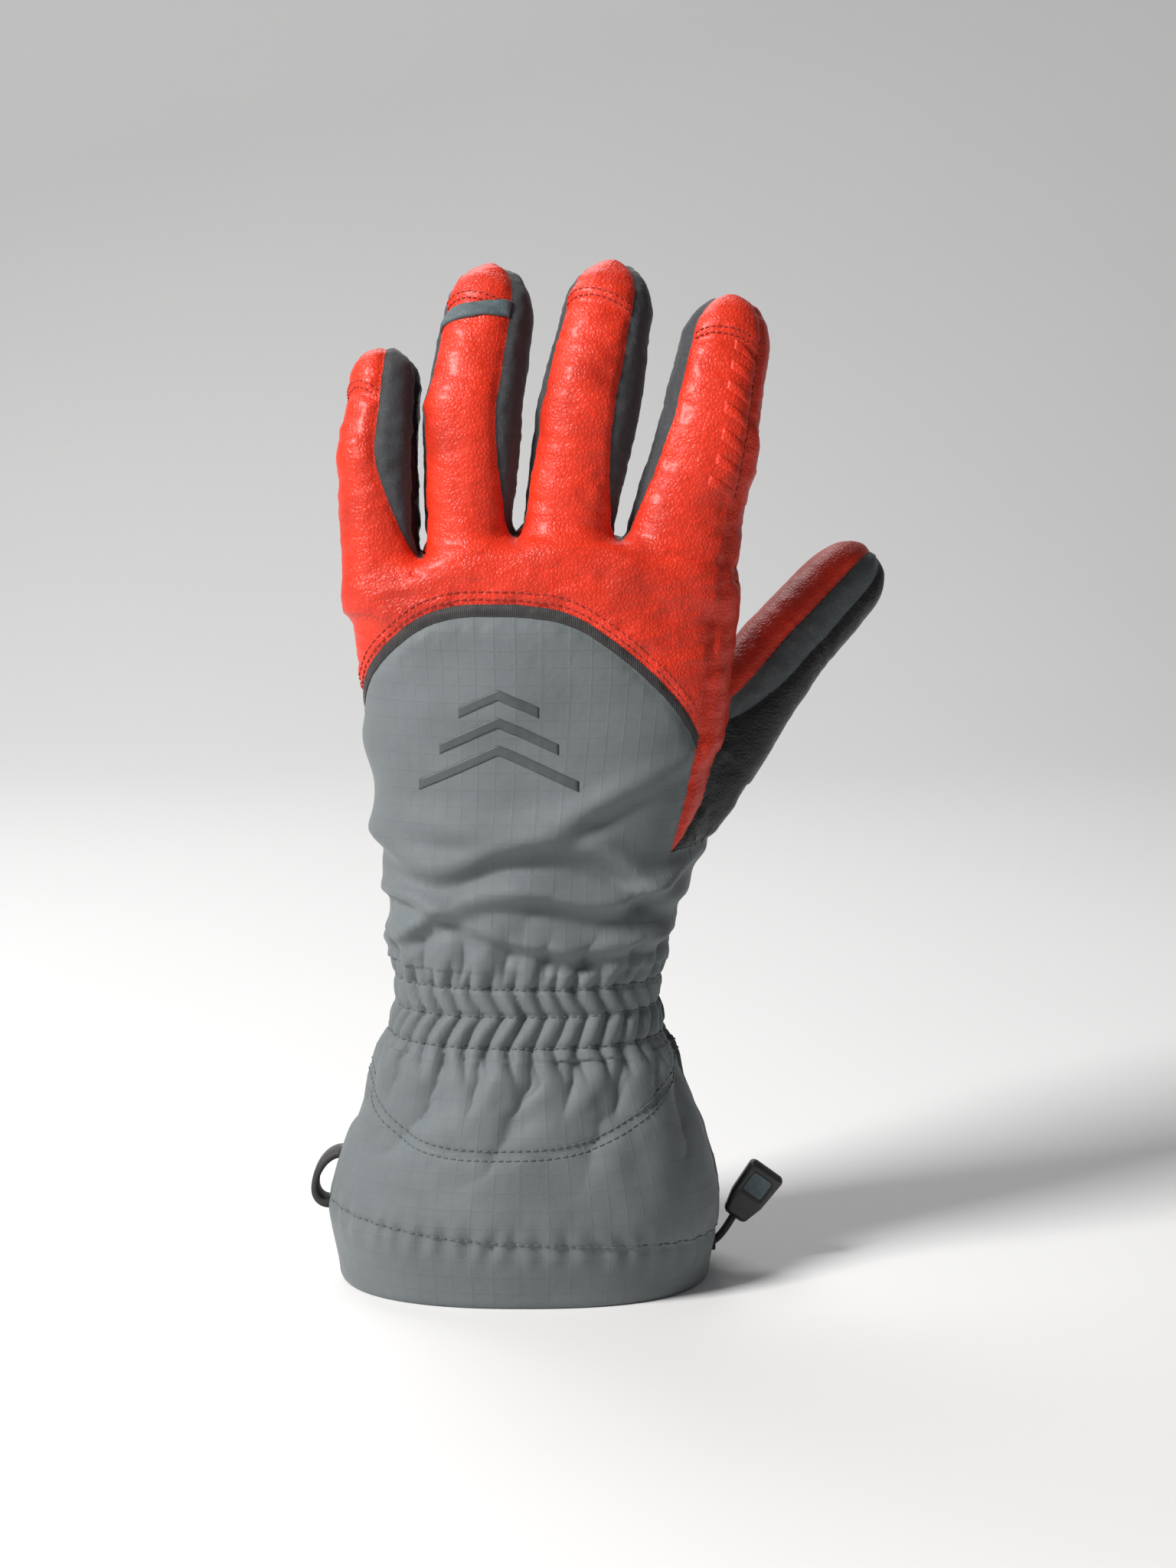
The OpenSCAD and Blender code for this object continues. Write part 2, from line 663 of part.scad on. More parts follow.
// A loop of webbing on the little-finger side, to hang the glove up
module hang_loop() {
    tape_w = 9;
    tape_t = 1;
    loop_h = 16;
    reach = 7.2;
    z = hem_h + loop_h / 2;
    surface = body_pt(180, z);
    slant = atan((body_pt(180, z + 5)[0] - body_pt(180, z - 5)[0]) / 10);
    module half_ring(w, h, base) {
        intersection() {
            scale([w / (h / 2), 1]) circle(d = h, $fn = 40);
            translate([-2 * h, -h]) square([2 * h - base, 2 * h]);
        }
    }
    color(BLACK) translate([surface[0], -tape_w / 2, z]) rotate([0, slant, 0]) rotate([-90, 0, 0])
        linear_extrude(tape_w) difference() {
            half_ring(reach, loop_h, 0.3);
            half_ring(reach - tape_t, loop_h - 2 * tape_t, 0.3 + tape_t);
        }
}

// ---- drawcord and pull ----

eyelet_t = 1.2;
// Play between the cord and the eyelet's hole
cord_play = 0.5;
eyelet_d = cord_d + cord_play + 2.8;
exit_y = 3;
// Lean of the free cord and of the pull towards the thumb side
cord_lean = 27;
pull_lean = 36;
// How far the cord's end sits in the pull
socket_l = 4;
function exit_point() = [body_pt(-4, cord_z)[0], exit_y, cord_z];
function cord_bend() = exit_point() + [eyelet_t + cord_d / 2 + 0.3, 0, 0];
function pull_neck() = cord_bend() + cord_free * [sin(cord_lean), 0, cos(cord_lean)];

module cord_exit(d) {
    translate(exit_point() + [-5, 0, 0]) rotate([0, 90, 0]) cylinder(d = d, h = 10, $fn = 32);
}

// A moulded eyelet on the hem's outer face
module cord_eyelet() {
    color(BLACK) translate(exit_point() + [0.1, 0, 0]) rotate([0, 90, 0]) difference() {
        cylinder(d = eyelet_d, h = eyelet_t, $fn = 40);
        translate([0, 0, -1]) cylinder(d = cord_d + cord_play, h = eyelet_t + 2, $fn = 40);
    }
}

// The drawcord outside the hem, from its bend at the eyelet to the pull
module cord_tail() {
    color(BLACK) translate(cord_bend()) {
        sphere(d = cord_d + 0.4, $fn = 32);
        rotate([0, cord_lean, 0]) cylinder(d = cord_d, h = cord_free - 0.5, $fn = 24);
    }
}

// The moulded pull, which the cord's end is knotted into
module pull_tab() {
    corner = 2;
    pad_depth = 0.5;
    color(BLACK) translate(pull_neck()) rotate([0, pull_lean, 0]) translate([0, pull_t / 2, 0])
        rotate([90, 0, 0]) difference() {
            linear_extrude(pull_t) offset(r = corner) offset(delta = -corner) polygon([
                [-pull_neck_w / 2, 0], [pull_neck_w / 2, 0], [pull_w / 2 - 0.4, pull_l * 0.35],
                [pull_w / 2, pull_l], [-pull_w / 2, pull_l], [0.4 - pull_w / 2, pull_l * 0.35]]);
            // Shallow grip pockets on both faces
            for (z = [-eps, pull_t - pad_depth]) translate([2 - pull_w / 2, pull_l * 0.5, z])
                cube([pull_w - 4, pull_l * 0.36, pad_depth + eps]);
            // The cord's socket
            translate([0, -1, pull_t / 2]) rotate([-90, 0, 0])
                cylinder(d = cord_d + cord_play, h = socket_l + 1, $fn = 24);
        }
}

hem_band();
gauntlet_back();
gauntlet_front();
gauntlet_inset();
cuff_lining();
wrist_gather();
wrist_elastic();
hem_cord();
hang_loop();
cord_eyelet();
cord_tail();
pull_tab();
back_panel();
back_binding();
knuckle_leather();
side_panel();
palm_leather();
web_gussets();
hand_insulation();
hand_lining();
ring_band();
for (f = FINGERS)
    for (p = ["base_back", "base_sides", "base_palm", "base_lining", "tip_back", "tip_cap",
              "tip_sides", "tip_palm"])
        finger_piece(f[1], p);
thumb_base_back();
thumb_base_strip();
thumb_base_palm();
thumb_tip_back();
thumb_tip_strip();
thumb_tip_palm();
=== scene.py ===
"""A left-hand ski glove with a gauntlet cuff: sewn leather, woven shell, gathered wrist and drawcord."""
import json
import math

import bpy
import bmesh
import numpy as np
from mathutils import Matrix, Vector
from mathutils.bvhtree import BVHTree
from mathutils.kdtree import KDTree


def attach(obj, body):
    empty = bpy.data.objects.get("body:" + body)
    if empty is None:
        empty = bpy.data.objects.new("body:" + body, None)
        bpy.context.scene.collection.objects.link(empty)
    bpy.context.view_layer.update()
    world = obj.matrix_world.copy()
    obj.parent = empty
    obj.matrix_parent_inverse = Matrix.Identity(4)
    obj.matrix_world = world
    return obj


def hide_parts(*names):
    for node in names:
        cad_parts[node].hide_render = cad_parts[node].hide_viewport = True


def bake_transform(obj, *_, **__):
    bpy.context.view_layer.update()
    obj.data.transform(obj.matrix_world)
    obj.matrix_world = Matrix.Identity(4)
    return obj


bl_info = {
    "name": "Gauntlet Ski Glove",
    "version": (1, 0, 0),
    "blender": (4, 5, 0),
    "location": "3D View > Sidebar > Glove",
    "description": "Sews a ski glove from leather, softshell and ripstop panels",
    "category": "Add Mesh",
}

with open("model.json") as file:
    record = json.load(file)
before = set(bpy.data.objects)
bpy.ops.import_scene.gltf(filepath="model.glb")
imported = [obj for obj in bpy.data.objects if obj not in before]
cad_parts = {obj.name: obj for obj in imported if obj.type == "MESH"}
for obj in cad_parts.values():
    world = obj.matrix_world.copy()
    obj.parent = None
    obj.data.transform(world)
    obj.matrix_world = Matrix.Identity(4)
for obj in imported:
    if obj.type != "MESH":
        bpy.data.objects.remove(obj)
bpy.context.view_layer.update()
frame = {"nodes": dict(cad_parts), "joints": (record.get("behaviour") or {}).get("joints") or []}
JOINTS = {joint["name"]: joint for joint in frame["joints"]}
FINGERS = ("index", "middle", "ring", "little")
MM = 0.001


# ---- sizes and colours that a user would change ----

def length(name, description, default):
    """A size in metres, given in millimetres."""
    return bpy.props.FloatProperty(name=name, description=description, default=default * MM,
                                   unit="LENGTH", subtype="DISTANCE", precision=4)


def share(name, description, default):
    return bpy.props.FloatProperty(name=name, description=description, default=default,
                                   soft_min=0.0, soft_max=2.0)


def colour(name, description, default):
    return bpy.props.FloatVectorProperty(name=name, description=description, default=default,
                                         subtype="COLOR", size=3, min=0.0, max=1.0)


class GLOVE_PG_pattern(bpy.types.PropertyGroup):
    """How the glove's panels are cut and sewn."""
    mesh_step: length("Mesh step", "Distance between points of the sewn skin", 1.2)
    leather: length("Leather", "Thickness of the leather panels", 1.4)
    fabric: length("Shell fabric", "Thickness of the woven and knitted panels", 1.0)
    lining: length("Lining", "Thickness of the fleece lining", 1.6)
    seam_depth: length("Seam depth", "How far a seam pulls the skin in", 0.9)
    seam_width: length("Seam width", "Width of the valley along a seam", 1.5)
    stitch: length("Stitch", "Length of one stitch", 2.4)
    thread: length("Thread", "Thickness of the sewing thread", 0.45)
    binding: length("Binding", "Width of the tape round the back panel", 3.4)
    cap: length("Fingertip cap", "Length of the leather cap over each fingertip", 19)
    pleat: length("Pleat", "Distance between the pleats at the wrist", 6.4)
    padding: length("Padding", "How far padded panels swell between their seams", 1.0)
    fullness: share("Fullness", "How much longer than its place the sewn skin is cut", 0.05)
    slack: length("Slack", "How far the skin may move as it settles", 2.2)


class GLOVE_PG_finish(bpy.types.PropertyGroup):
    """Colours of the glove's materials."""
    leather_red: colour("Red leather", "Colour of the back and finger leather", (0.74, 0.036, 0.012))
    leather_black: colour("Black leather", "Colour of the palm leather", (0.014, 0.014, 0.015))
    ripstop: colour("Ripstop", "Colour of the woven back panel and gauntlet", (0.132, 0.150, 0.155))
    softshell: colour("Softshell", "Colour of the finger sides", (0.040, 0.042, 0.046))
    thumb_grey: colour("Thumb strip", "Colour of the thumb's grey strips", (0.07, 0.08, 0.083))
    gauntlet: colour("Gauntlet front", "Colour of the gauntlet's front panel", (0.022, 0.024, 0.026))
    binding: colour("Binding", "Colour of the binding tape", (0.03, 0.026, 0.027))
    fleece: colour("Fleece", "Colour of the lining", (0.055, 0.056, 0.06))
    plastic: colour("Plastic", "Colour of the cord pull", (0.018, 0.018, 0.019))
    print_dark: colour("Print", "Colour of the printed emblem", (0.055, 0.062, 0.065))


# ---- the glove's form, in millimetres ----

POWER = 0.84
NORM = 2 / POWER
WRIST_Z = JOINTS["wrist_bend"]["pos_m"][2] / MM
ROOT_Z = WRIST_Z + 146
# The digits' hinges lie this far towards the palm from their middle lines
HINGE_DEPTH = 4
# Distance along the thumb of its root hinge
THUMB_HINGE = 14
TIP_TAPER = 0.15
# Height, middle in x, half width and half depth of the body's cross-sections
STATIONS = np.array([
    [0, 0, 57.5, 43], [26, 0, 60, 46], [WRIST_Z, 1, 40, 29], [WRIST_Z + 39.42, 3, 46, 29],
    [WRIST_Z + 90.52, 6.5, 55.33, 25], [ROOT_Z, 6.5, 61.5, 18],
])
CUFF_HI = WRIST_Z - 12
HAND_LO = WRIST_Z + 12
BACK_LO, BACK_HI = 31, 200
SIDE_LO = -25
SIDE_FOOT = WRIST_Z + 49
FRONT_LO, FRONT_HI = 210, 360.5
PANEL_TOP, PANEL_DROP = ROOT_Z - 21, 41
HEM_TOP = 20


def station(z):
    """Middle in x, half width and half depth of the body at height z."""
    rows = STATIONS
    i = np.clip(np.searchsorted(rows[:, 0], z, side="right") - 1, 0, len(rows) - 2)
    slopes = np.zeros_like(rows)
    for n in range(1, len(rows)):
        hi = min(n + 1, len(rows) - 1)
        slopes[n] = (rows[hi] - rows[n - 1]) / (rows[hi, 0] - rows[n - 1, 0])
    a, b = rows[i], rows[i + 1]
    h = (b[:, 0] - a[:, 0])[:, None]
    t = np.clip((z - a[:, 0]) / h[:, 0], 0, 1)[:, None]
    out = ((2 * t**3 - 3 * t**2 + 1) * a + (t**3 - 2 * t**2 + t) * slopes[i] * h
           + (3 * t**2 - 2 * t**3) * b + (t**3 - t**2) * slopes[i + 1] * h)
    return out[:, 1], out[:, 2], out[:, 3]


def boxy(v):
    """Turns a cosine or sine into one of a rounded box."""
    return np.sign(v) * np.abs(v) ** POWER


def unboxy(v):
    return np.sign(v) * np.abs(v) ** (1 / POWER)


def oval(u, v, half_u, half_v):
    """Radius in a rounded-box section, 1 on its outline, how fast it grows, and the angle round it."""
    p, q = np.abs(u) / half_u, np.abs(v) / half_v
    r = np.maximum((p**NORM + q**NORM) ** (1 / NORM), 1e-6)
    grow = r ** (1 - NORM) * np.hypot(p ** (NORM - 1) / half_u, q ** (NORM - 1) / half_v)
    angle = np.degrees(np.arctan2(unboxy(-v / half_v), unboxy(u / half_u))) % 360
    return r, grow, angle


def roots_z(x):
    """Height of the fingers' roots, an arch across the hand."""
    return ROOT_Z - 16 * ((x - 10) / 60) ** 2


def smooth_min(a, b, k):
    """The lesser of two fields, rounded where they are within k."""
    h = np.clip(0.5 + 0.5 * (b - a) / k, 0, 1)
    return b * (1 - h) + a * h - k * h * (1 - h)


def smooth_step(x, lo, hi):
    t = np.clip((x - lo) / (hi - lo), 0, 1)
    return t * t * (3 - 2 * t)


def bump(x, width):
    return np.exp(-(x / width) ** 2)


def body_where(points):
    """Angle round the body, height, and distance from its side."""
    cx, hw, hd = station(points[:, 2])
    r, grow, angle = oval(points[:, 0] - cx, points[:, 1], hw, hd)
    return angle, points[:, 2], (r - 1) / grow


def body_point(angle, z, inset=0.0):
    """Points of the body's side, or of a surface inset from it."""
    angle = np.radians(np.asarray(angle, float))
    z = np.asarray(z, float) + 0 * angle
    cx, hw, hd = station(z)
    return np.stack([cx + (hw - inset) * boxy(np.cos(angle)), -(hd - inset) * boxy(np.sin(angle)), z], 1)


def body_distance(points):
    """Distance from the body, closed by a rounded top."""
    side = body_where(points)[2]
    top = points[:, 2] - roots_z(points[:, 0]) + 2
    return -smooth_min(-side, -top, 7)


class Digit:
    """A finger or the thumb: a bent tube with a rounded end."""

    def __init__(self, name, leans, tilts, widths, depth, whole, seams):
        self.name = name
        self.thumb = name == "thumb"
        self.frames = [self.frame_of(lean, tilt) for lean, tilt in zip(leans, tilts)]
        first = np.array(JOINTS[name + ("_root" if self.thumb else "_knuckle")]["pos_m"]) / MM
        second = np.array(JOINTS[name + "_bend"]["pos_m"]) / MM
        b, u, v = self.frames[0]
        self.hinge = THUMB_HINGE if self.thumb else 0
        self.root = first - HINGE_DEPTH * v - self.hinge * b
        self.joint = float((second - first) @ b) + self.hinge
        self.elbow = self.root + self.joint * b
        self.root_w, self.width = widths
        self.depth = depth
        self.whole = whole
        self.seams = seams
        self.round_r = self.width * 0.55

    @staticmethod
    def frame_of(lean, tilt):
        lean, tilt = math.radians(lean), math.radians(tilt)
        b = np.array([math.sin(lean) * math.cos(tilt), math.sin(tilt), math.cos(lean) * math.cos(tilt)])
        u = np.array([math.cos(lean), 0, -math.sin(lean)])
        return b, u, np.cross(b, u)

    def locate(self, points):
        """Distance along the digit, and places across it and towards the palm."""
        (b1, u1, v1), (b2, u2, v2) = self.frames
        q, p = points - self.root, points - self.elbow
        middle = (b1 + b2) / np.linalg.norm(b1 + b2)
        w = smooth_step(p @ middle, -9, 9)
        return ((1 - w) * (q @ b1) + w * (self.joint + p @ b2), (1 - w) * (q @ u1) + w * (p @ u2),
                (1 - w) * (q @ v1) + w * (p @ v2))

    def half_width(self, s):
        knee = self.joint * 0.9
        taper = 1 - TIP_TAPER * np.clip((s - knee) / (self.whole - knee), 0, 1)
        return (self.root_w + (self.width - self.root_w) * np.clip(s / knee, 0, 1)) / 2 * taper

    def where(self, points):
        """Angle round the digit, distance along it, and distance from its skin."""
        s, u, v = self.locate(points)
        r, grow, angle = oval(u, v, self.half_width(s), self.depth / 2)
        over = np.maximum(0, (s - self.whole + self.round_r) / self.round_r)
        full = np.maximum(np.hypot(r, over), 1e-6)
        slope = np.hypot(r / full * grow, over / full / self.round_r)
        return angle, s, (full - 1) / np.maximum(slope, 1e-4)

    def distance(self, points):
        start = -26 if self.thumb else -12
        s = self.locate(points)[0]
        return np.maximum(self.where(points)[2], start - s)

    def point(self, angle, s, inset=0.0):
        (b1, u1, v1), (b2, u2, v2) = self.frames
        angle = np.radians(np.asarray(angle, float))
        s = np.asarray(s, float) + 0 * angle
        over = np.clip((s - self.whole + self.round_r) / self.round_r, 0, 1)
        k = np.sqrt(np.maximum(0.004, 1 - over**2))
        u = ((self.half_width(s) - inset) * k * boxy(np.cos(angle)))[:, None]
        v = (-(self.depth / 2 - inset) * k * boxy(np.sin(angle)))[:, None]
        w = smooth_step(s - self.joint, -9, 9)[:, None]
        s = s[:, None]
        return ((1 - w) * (self.root + s * b1 + u * u1 + v * v1)
                + w * (self.elbow + (s - self.joint) * b2 + u * u2 + v * v2))

    def at(self, s):
        """A point on the digit's middle line, in metres."""
        (b1, u1, v1), (b2, u2, v2) = self.frames
        place = self.root + s * b1 if s < self.joint else self.elbow + (s - self.joint) * b2
        return tuple(place * MM)


# Angles of the seams: where the back, left side, palm and right side begin
DIGITS = {
    "little": Digit("little", (-2, 5.6), (5, 22), (23.5, 25), 25, 69, (92, 200, 200, 382)),
    "ring": Digit("ring", (2.5, 9), (5, 24), (26.5, 31), 28, 86, (65, 170, 240, 355)),
    "middle": Digit("middle", (10, 12), (5, 22), (28, 31), 28, 84, (62, 165, 235, 352)),
    "index": Digit("index", (13, 12), (5, 20), (36, 31), 28, 80, (-40, 142, 215, 320)),
    "thumb": Digit("thumb", (40, 45), (17, 22), (38, 28), 28, 94, (100, 215, 245, 426)),
}
THUMB = DIGITS["thumb"]
# Distance along a finger at which the piece over its knuckle ends and the next one begins
KNUCKLE_END = 17
THUMB_KNUCKLE_END = 36
# Distance along a finger or the thumb at which it takes over from the body
ROOT_LINE = -2.0
THUMB_LINE = 10
# How far the web gussets reach to each side of the glove's middle plane
WEB_HALF = 2.4
# Angle of the seam between the index finger's back and its narrow side panel
INDEX_EDGE = 41


def skin_field(points):
    """Distance from the whole glove's skin; neighbouring fingers stay apart."""
    fingers = np.min([DIGITS[name].distance(points) for name in FINGERS], 0)
    return smooth_min(smooth_min(body_distance(points), fingers, 6), THUMB.distance(points), 10)


def panel_z(angle):
    """Height of the back panel's upper edge: level in the middle, sloping to both sides."""
    left = (angle - 118) / (BACK_HI - 118)
    right = (88 - angle) / (88 - BACK_LO)
    return PANEL_TOP + PANEL_DROP * smooth_min(-np.maximum(left, right), 0 * left, 0.16)


def side_z(angle):
    """Height of the side panel's slanted foot."""
    return SIDE_FOOT + 32 * (BACK_LO - angle) / (BACK_LO - SIDE_LO)


def thumb_root(points):
    """Signed distance from the curve round the thumb's root, where the side panel ends."""
    return THUMB.distance(points) - 4.5 * (1 - smooth_step(points[:, 2], 158, 178))


def inset_z(angle):
    """Height of the seam of the gauntlet's upper inset."""
    floor, rise = WRIST_Z - 39, 24
    right = np.minimum(1, (80 - angle) / 78)
    left = np.minimum(1, (angle - 118) / 82)
    return floor - rise * smooth_min(-np.maximum(left, right), 0 * left, 0.2)


def turned(angle, middle):
    """angle in degrees, as the nearest turn to middle."""
    return (angle - middle + 180) % 360 - 180 + middle


# ---- the skin: one mesh, cut along the seams ----

def mesh_of(points, faces, name):
    mesh = bpy.data.meshes.new(name)
    mesh.from_pydata([tuple(p) for p in points], [], [tuple(f) for f in faces])
    return mesh


def tube_faces(rows, cols, caps=True):
    faces = [(r * cols + c, r * cols + (c + 1) % cols, (r + 1) * cols + (c + 1) % cols, (r + 1) * cols + c)
             for r in range(rows - 1) for c in range(cols)]
    if caps:
        for start, turn in ((0, 1), ((rows - 1) * cols, -1)):
            half = cols // 2
            for c in range(half):
                a, b = c, (c + 1)
                d, e = (cols - c) % cols, (cols - c - 1) % cols
                quad = [start + k for k in dict.fromkeys((a, d, e, b))]
                faces.append(quad if turn > 0 else quad[::-1])
    return faces


def end_faces(rows, cols):
    """One face over each end of a tube."""
    return [tuple(range(cols))[::-1], tuple(range((rows - 1) * cols, rows * cols))]


def rough_body():
    """Overlapping closed tubes for the body, fingers and thumb."""
    points, faces = [], []

    def add(rings):
        cols = len(rings[0])
        start = sum(len(p) for p in points)
        points.append(np.concatenate(rings))
        faces.extend([tuple(start + k for k in f) for f in tube_faces(len(rings), cols)])

    angles = np.arange(0, 360, 5.0)
    tops = roots_z(body_point(angles, ROOT_Z)[:, 0]) - 2
    add([body_point(angles, -5 + (tops + 5) * k / 60) for k in range(61)])
    for digit in DIGITS.values():
        start = -24 if digit.thumb else -10
        along = start + (digit.whole - 0.5 - start) * np.sin(np.linspace(0, math.pi / 2, 44))
        # Thinner at first, so that neighbouring fingers stay apart until they're drawn out to size
        narrow = 0.0 if digit.thumb else 1.1
        add([digit.point(angles, s, narrow) for s in along])
    return mesh_of(np.concatenate(points), faces, "rough_skin")


def remeshed(mesh, step, name):
    """A closed mesh of even faces over the union of all tubes."""
    obj = bpy.data.objects.new(name, mesh)
    bpy.context.scene.collection.objects.link(obj)
    modifier = obj.modifiers.new("Remesh", "REMESH")
    modifier.mode = "VOXEL"
    modifier.voxel_size = step
    made = bpy.data.meshes.new_from_object(obj.evaluated_get(bpy.context.evaluated_depsgraph_get()))
    bpy.data.objects.remove(obj)
    return made


def coords_of(mesh):
    out = np.empty(len(mesh.vertices) * 3, np.float32)
    mesh.vertices.foreach_get("co", out)
    return out.reshape(-1, 3).astype(float)


def edges_of(mesh):
    out = np.empty(len(mesh.edges) * 2, np.int32)
    mesh.edges.foreach_get("vertices", out)
    return out.reshape(-1, 2)


def neighbour_mean(points, edges):
    total = np.zeros_like(points)
    for k in range(3):
        total[:, k] = (np.bincount(edges[:, 0], points[edges[:, 1], k], len(points))
                       + np.bincount(edges[:, 1], points[edges[:, 0], k], len(points)))
    count = np.bincount(edges.ravel(), minlength=len(points))
    return total / np.maximum(count, 1)[:, None]


def gradient(field, points, reach=0.05):
    """A field's values and slopes."""
    here = field(points)
    out = np.empty_like(points)
    for k in range(3):
        moved = points.copy()
        moved[:, k] += reach
        out[:, k] = (field(moved) - here) / reach
    return here, out


def onto_skin(points, rounds=1):
    """Moves points onto the glove's form."""
    for _ in range(rounds):
        here, slope = gradient(skin_field, points)
        move = -here[:, None] * slope / np.maximum((slope**2).sum(1), 0.2)[:, None]
        size = np.linalg.norm(move, axis=1, keepdims=True)
        points = points + move * np.minimum(1, 1.5 / np.maximum(size, 1e-9))
    return points


def relaxed_skin(step):
    """The whole skin as one even mesh on the glove's form."""
    mesh = remeshed(rough_body(), step, "skin")
    points, edges = coords_of(mesh), edges_of(mesh)
    for _ in range(4):
        points = points + 0.6 * (neighbour_mean(points, edges) - points)
        points = onto_skin(points)
    mesh.vertices.foreach_set("co", onto_skin(points).astype(np.float32).ravel())
    return mesh


class Cutter:
    """Splits the skin's faces along lines where a field is zero."""

    def __init__(self, mesh, step):
        self.bm = bmesh.new()
        self.bm.from_mesh(mesh)
        bmesh.ops.bisect_plane(self.bm, geom=self.bm.verts[:] + self.bm.edges[:] + self.bm.faces[:],
                               plane_co=(0, 0, 0), plane_no=(0, 0, 1), clear_inner=True, dist=0.05)
        self.step = step
        self.refresh()

    def refresh(self):
        self.bm.verts.ensure_lookup_table()
        self.bm.verts.index_update()
        self.points = [tuple(v.co) for v in self.bm.verts]

    def refine(self, inside):
        """Halves the mesh's step where inside says so."""
        chosen = inside(np.array(self.points))
        edges = [e for e in self.bm.edges if chosen[e.verts[0].index] and chosen[e.verts[1].index]]
        bmesh.ops.subdivide_edges(self.bm, edges=edges, cuts=1, use_grid_fill=True)
        self.refresh()
        points = np.array(self.points)
        fresh = inside(points)
        moved = onto_skin(points[fresh])
        moved[:, 2] = np.maximum(moved[:, 2], 0)
        for index, place in zip(np.flatnonzero(fresh), moved):
            self.bm.verts[index].co = place
        self.refresh()

    def cut(self, field, domain):
        """field and domain take points; the cut is made where domain is true."""
        points = np.array(self.points)
        inside = domain(points)
        chosen = np.flatnonzero(inside)
        if not len(chosen):
            return
        value = np.full(len(points), np.nan)
        value[chosen] = field(points[chosen])
        near = chosen[np.abs(value[chosen]) < self.step * 0.28]
        if len(near):
            here, slope = gradient(field, points[near])
            size = (slope**2).sum(1)
            good = (size > 0.2) & (size < 4)
            moved = points[near] - here[:, None] * slope / np.maximum(size, 0.2)[:, None]
            for index, place in zip(near[good], moved[good]):
                self.bm.verts[index].co = place
                self.points[index] = tuple(place)
                value[index] = 0.0
        values = list(value)
        band = chosen[np.abs(value[chosen]) < self.step * 4]
        verts = self.bm.verts
        crossing = set()
        for index in band:
            here = values[index]
            for edge in verts[index].link_edges:
                other = values[edge.other_vert(verts[index]).index]
                if here * other < 0:
                    crossing.add(edge)
        touched = [verts[i] for i in band if values[i] == 0.0]
        for edge in sorted(crossing, key=lambda e: (e.verts[0].index, e.verts[1].index)):
            first, second = edge.verts
            share_of = values[first.index] / (values[first.index] - values[second.index])
            fresh = bmesh.utils.edge_split(edge, first, share_of)[1]
            fresh.index = len(self.points)
            self.points.append(tuple(fresh.co))
            values.append(0.0)
            touched.append(fresh)
        self.bm.verts.ensure_lookup_table()
        faces = {face for vert in touched for face in vert.link_faces}
        for face in sorted(faces, key=lambda f: tuple(v.index for v in f.verts)):
            ring = list(face.verts)
            signs = [values[v.index] for v in ring]
            if not (any(s > 0 for s in signs) and any(s < 0 for s in signs)):
                continue
            turns = [k for k in range(len(ring)) if signs[k] == 0.0
                     and self.side(signs, k, -1) * self.side(signs, k, 1) < 0]
            if len(turns) == 2 and abs(turns[0] - turns[1]) not in (1, len(ring) - 1):
                bmesh.utils.face_split(face, ring[turns[0]], ring[turns[1]])

    @staticmethod
    def side(signs, k, turn):
        for step in range(1, len(signs)):
            value = signs[(k + turn * step) % len(signs)]
            if value != 0.0 and not math.isnan(value):
                return value
        return 0.0


def part_of(points):
    """Which part each point belongs to: body, or a digit past its first line."""
    part = np.full(len(points), "body", object)
    body = body_distance(points)
    for name, digit in DIGITS.items():
        angle, s, far = digit.where(points)
        if digit.thumb:
            mine = (s > THUMB_LINE) & (far < body) & (far < 6)
        else:
            mine = (s > ROOT_LINE) & (far < 4) & (np.abs(far) <= np.min(
                [np.abs(DIGITS[other].where(points)[2]) for other in FINGERS], 0) + 1e-6)
        part[mine] = name
    return part


def seam_angle(digit, line, s):
    """Angle of a digit's seam at s; beside a neighbour the strips narrow to a point at the root."""
    if digit.thumb:
        return line + (28 if line == digit.seams[3] else 0) * (1 - smooth_step(s, THUMB_LINE, 52))
    outer = BACK_HI, INDEX_EDGE, *DIGITS["index"].seams[::3]
    if line in outer:
        return line + 0 * s
    lo, hi, palm_lo, palm_hi = digit.seams
    foot = {lo: 5, hi: 176, palm_lo: 185, palm_hi: 359 if palm_hi > 360 else 357}[line]
    reach = 40 if line in (lo, hi) else 20
    return foot + (line - foot) * (1 - np.clip(1 - (s + 1) / reach, 0, 1) ** 2.2)


def digit_seam_field(digit, line):
    """About the distance round a digit from one of its seams, positive past it."""
    def field(points):
        angle, s, far = digit.where(points)
        return (turned(angle, line) - seam_angle(digit, line, s)) * 0.25
    return field


def cap_line(digit, angle):
    """Distance along the finger of the cap's arched seam."""
    back_lo, back_hi = digit.seams[:2]
    if digit.name == "index":
        back_lo = INDEX_EDGE
    t = (turned(angle, (back_lo + back_hi) / 2) - back_lo) / (back_hi - back_lo)
    cap = bpy.context.scene.glove_pattern.cap / MM
    return digit.whole - cap - 2.5 + 3.5 * np.clip(1 - (2 * t - 1) ** 2, -1, 1)


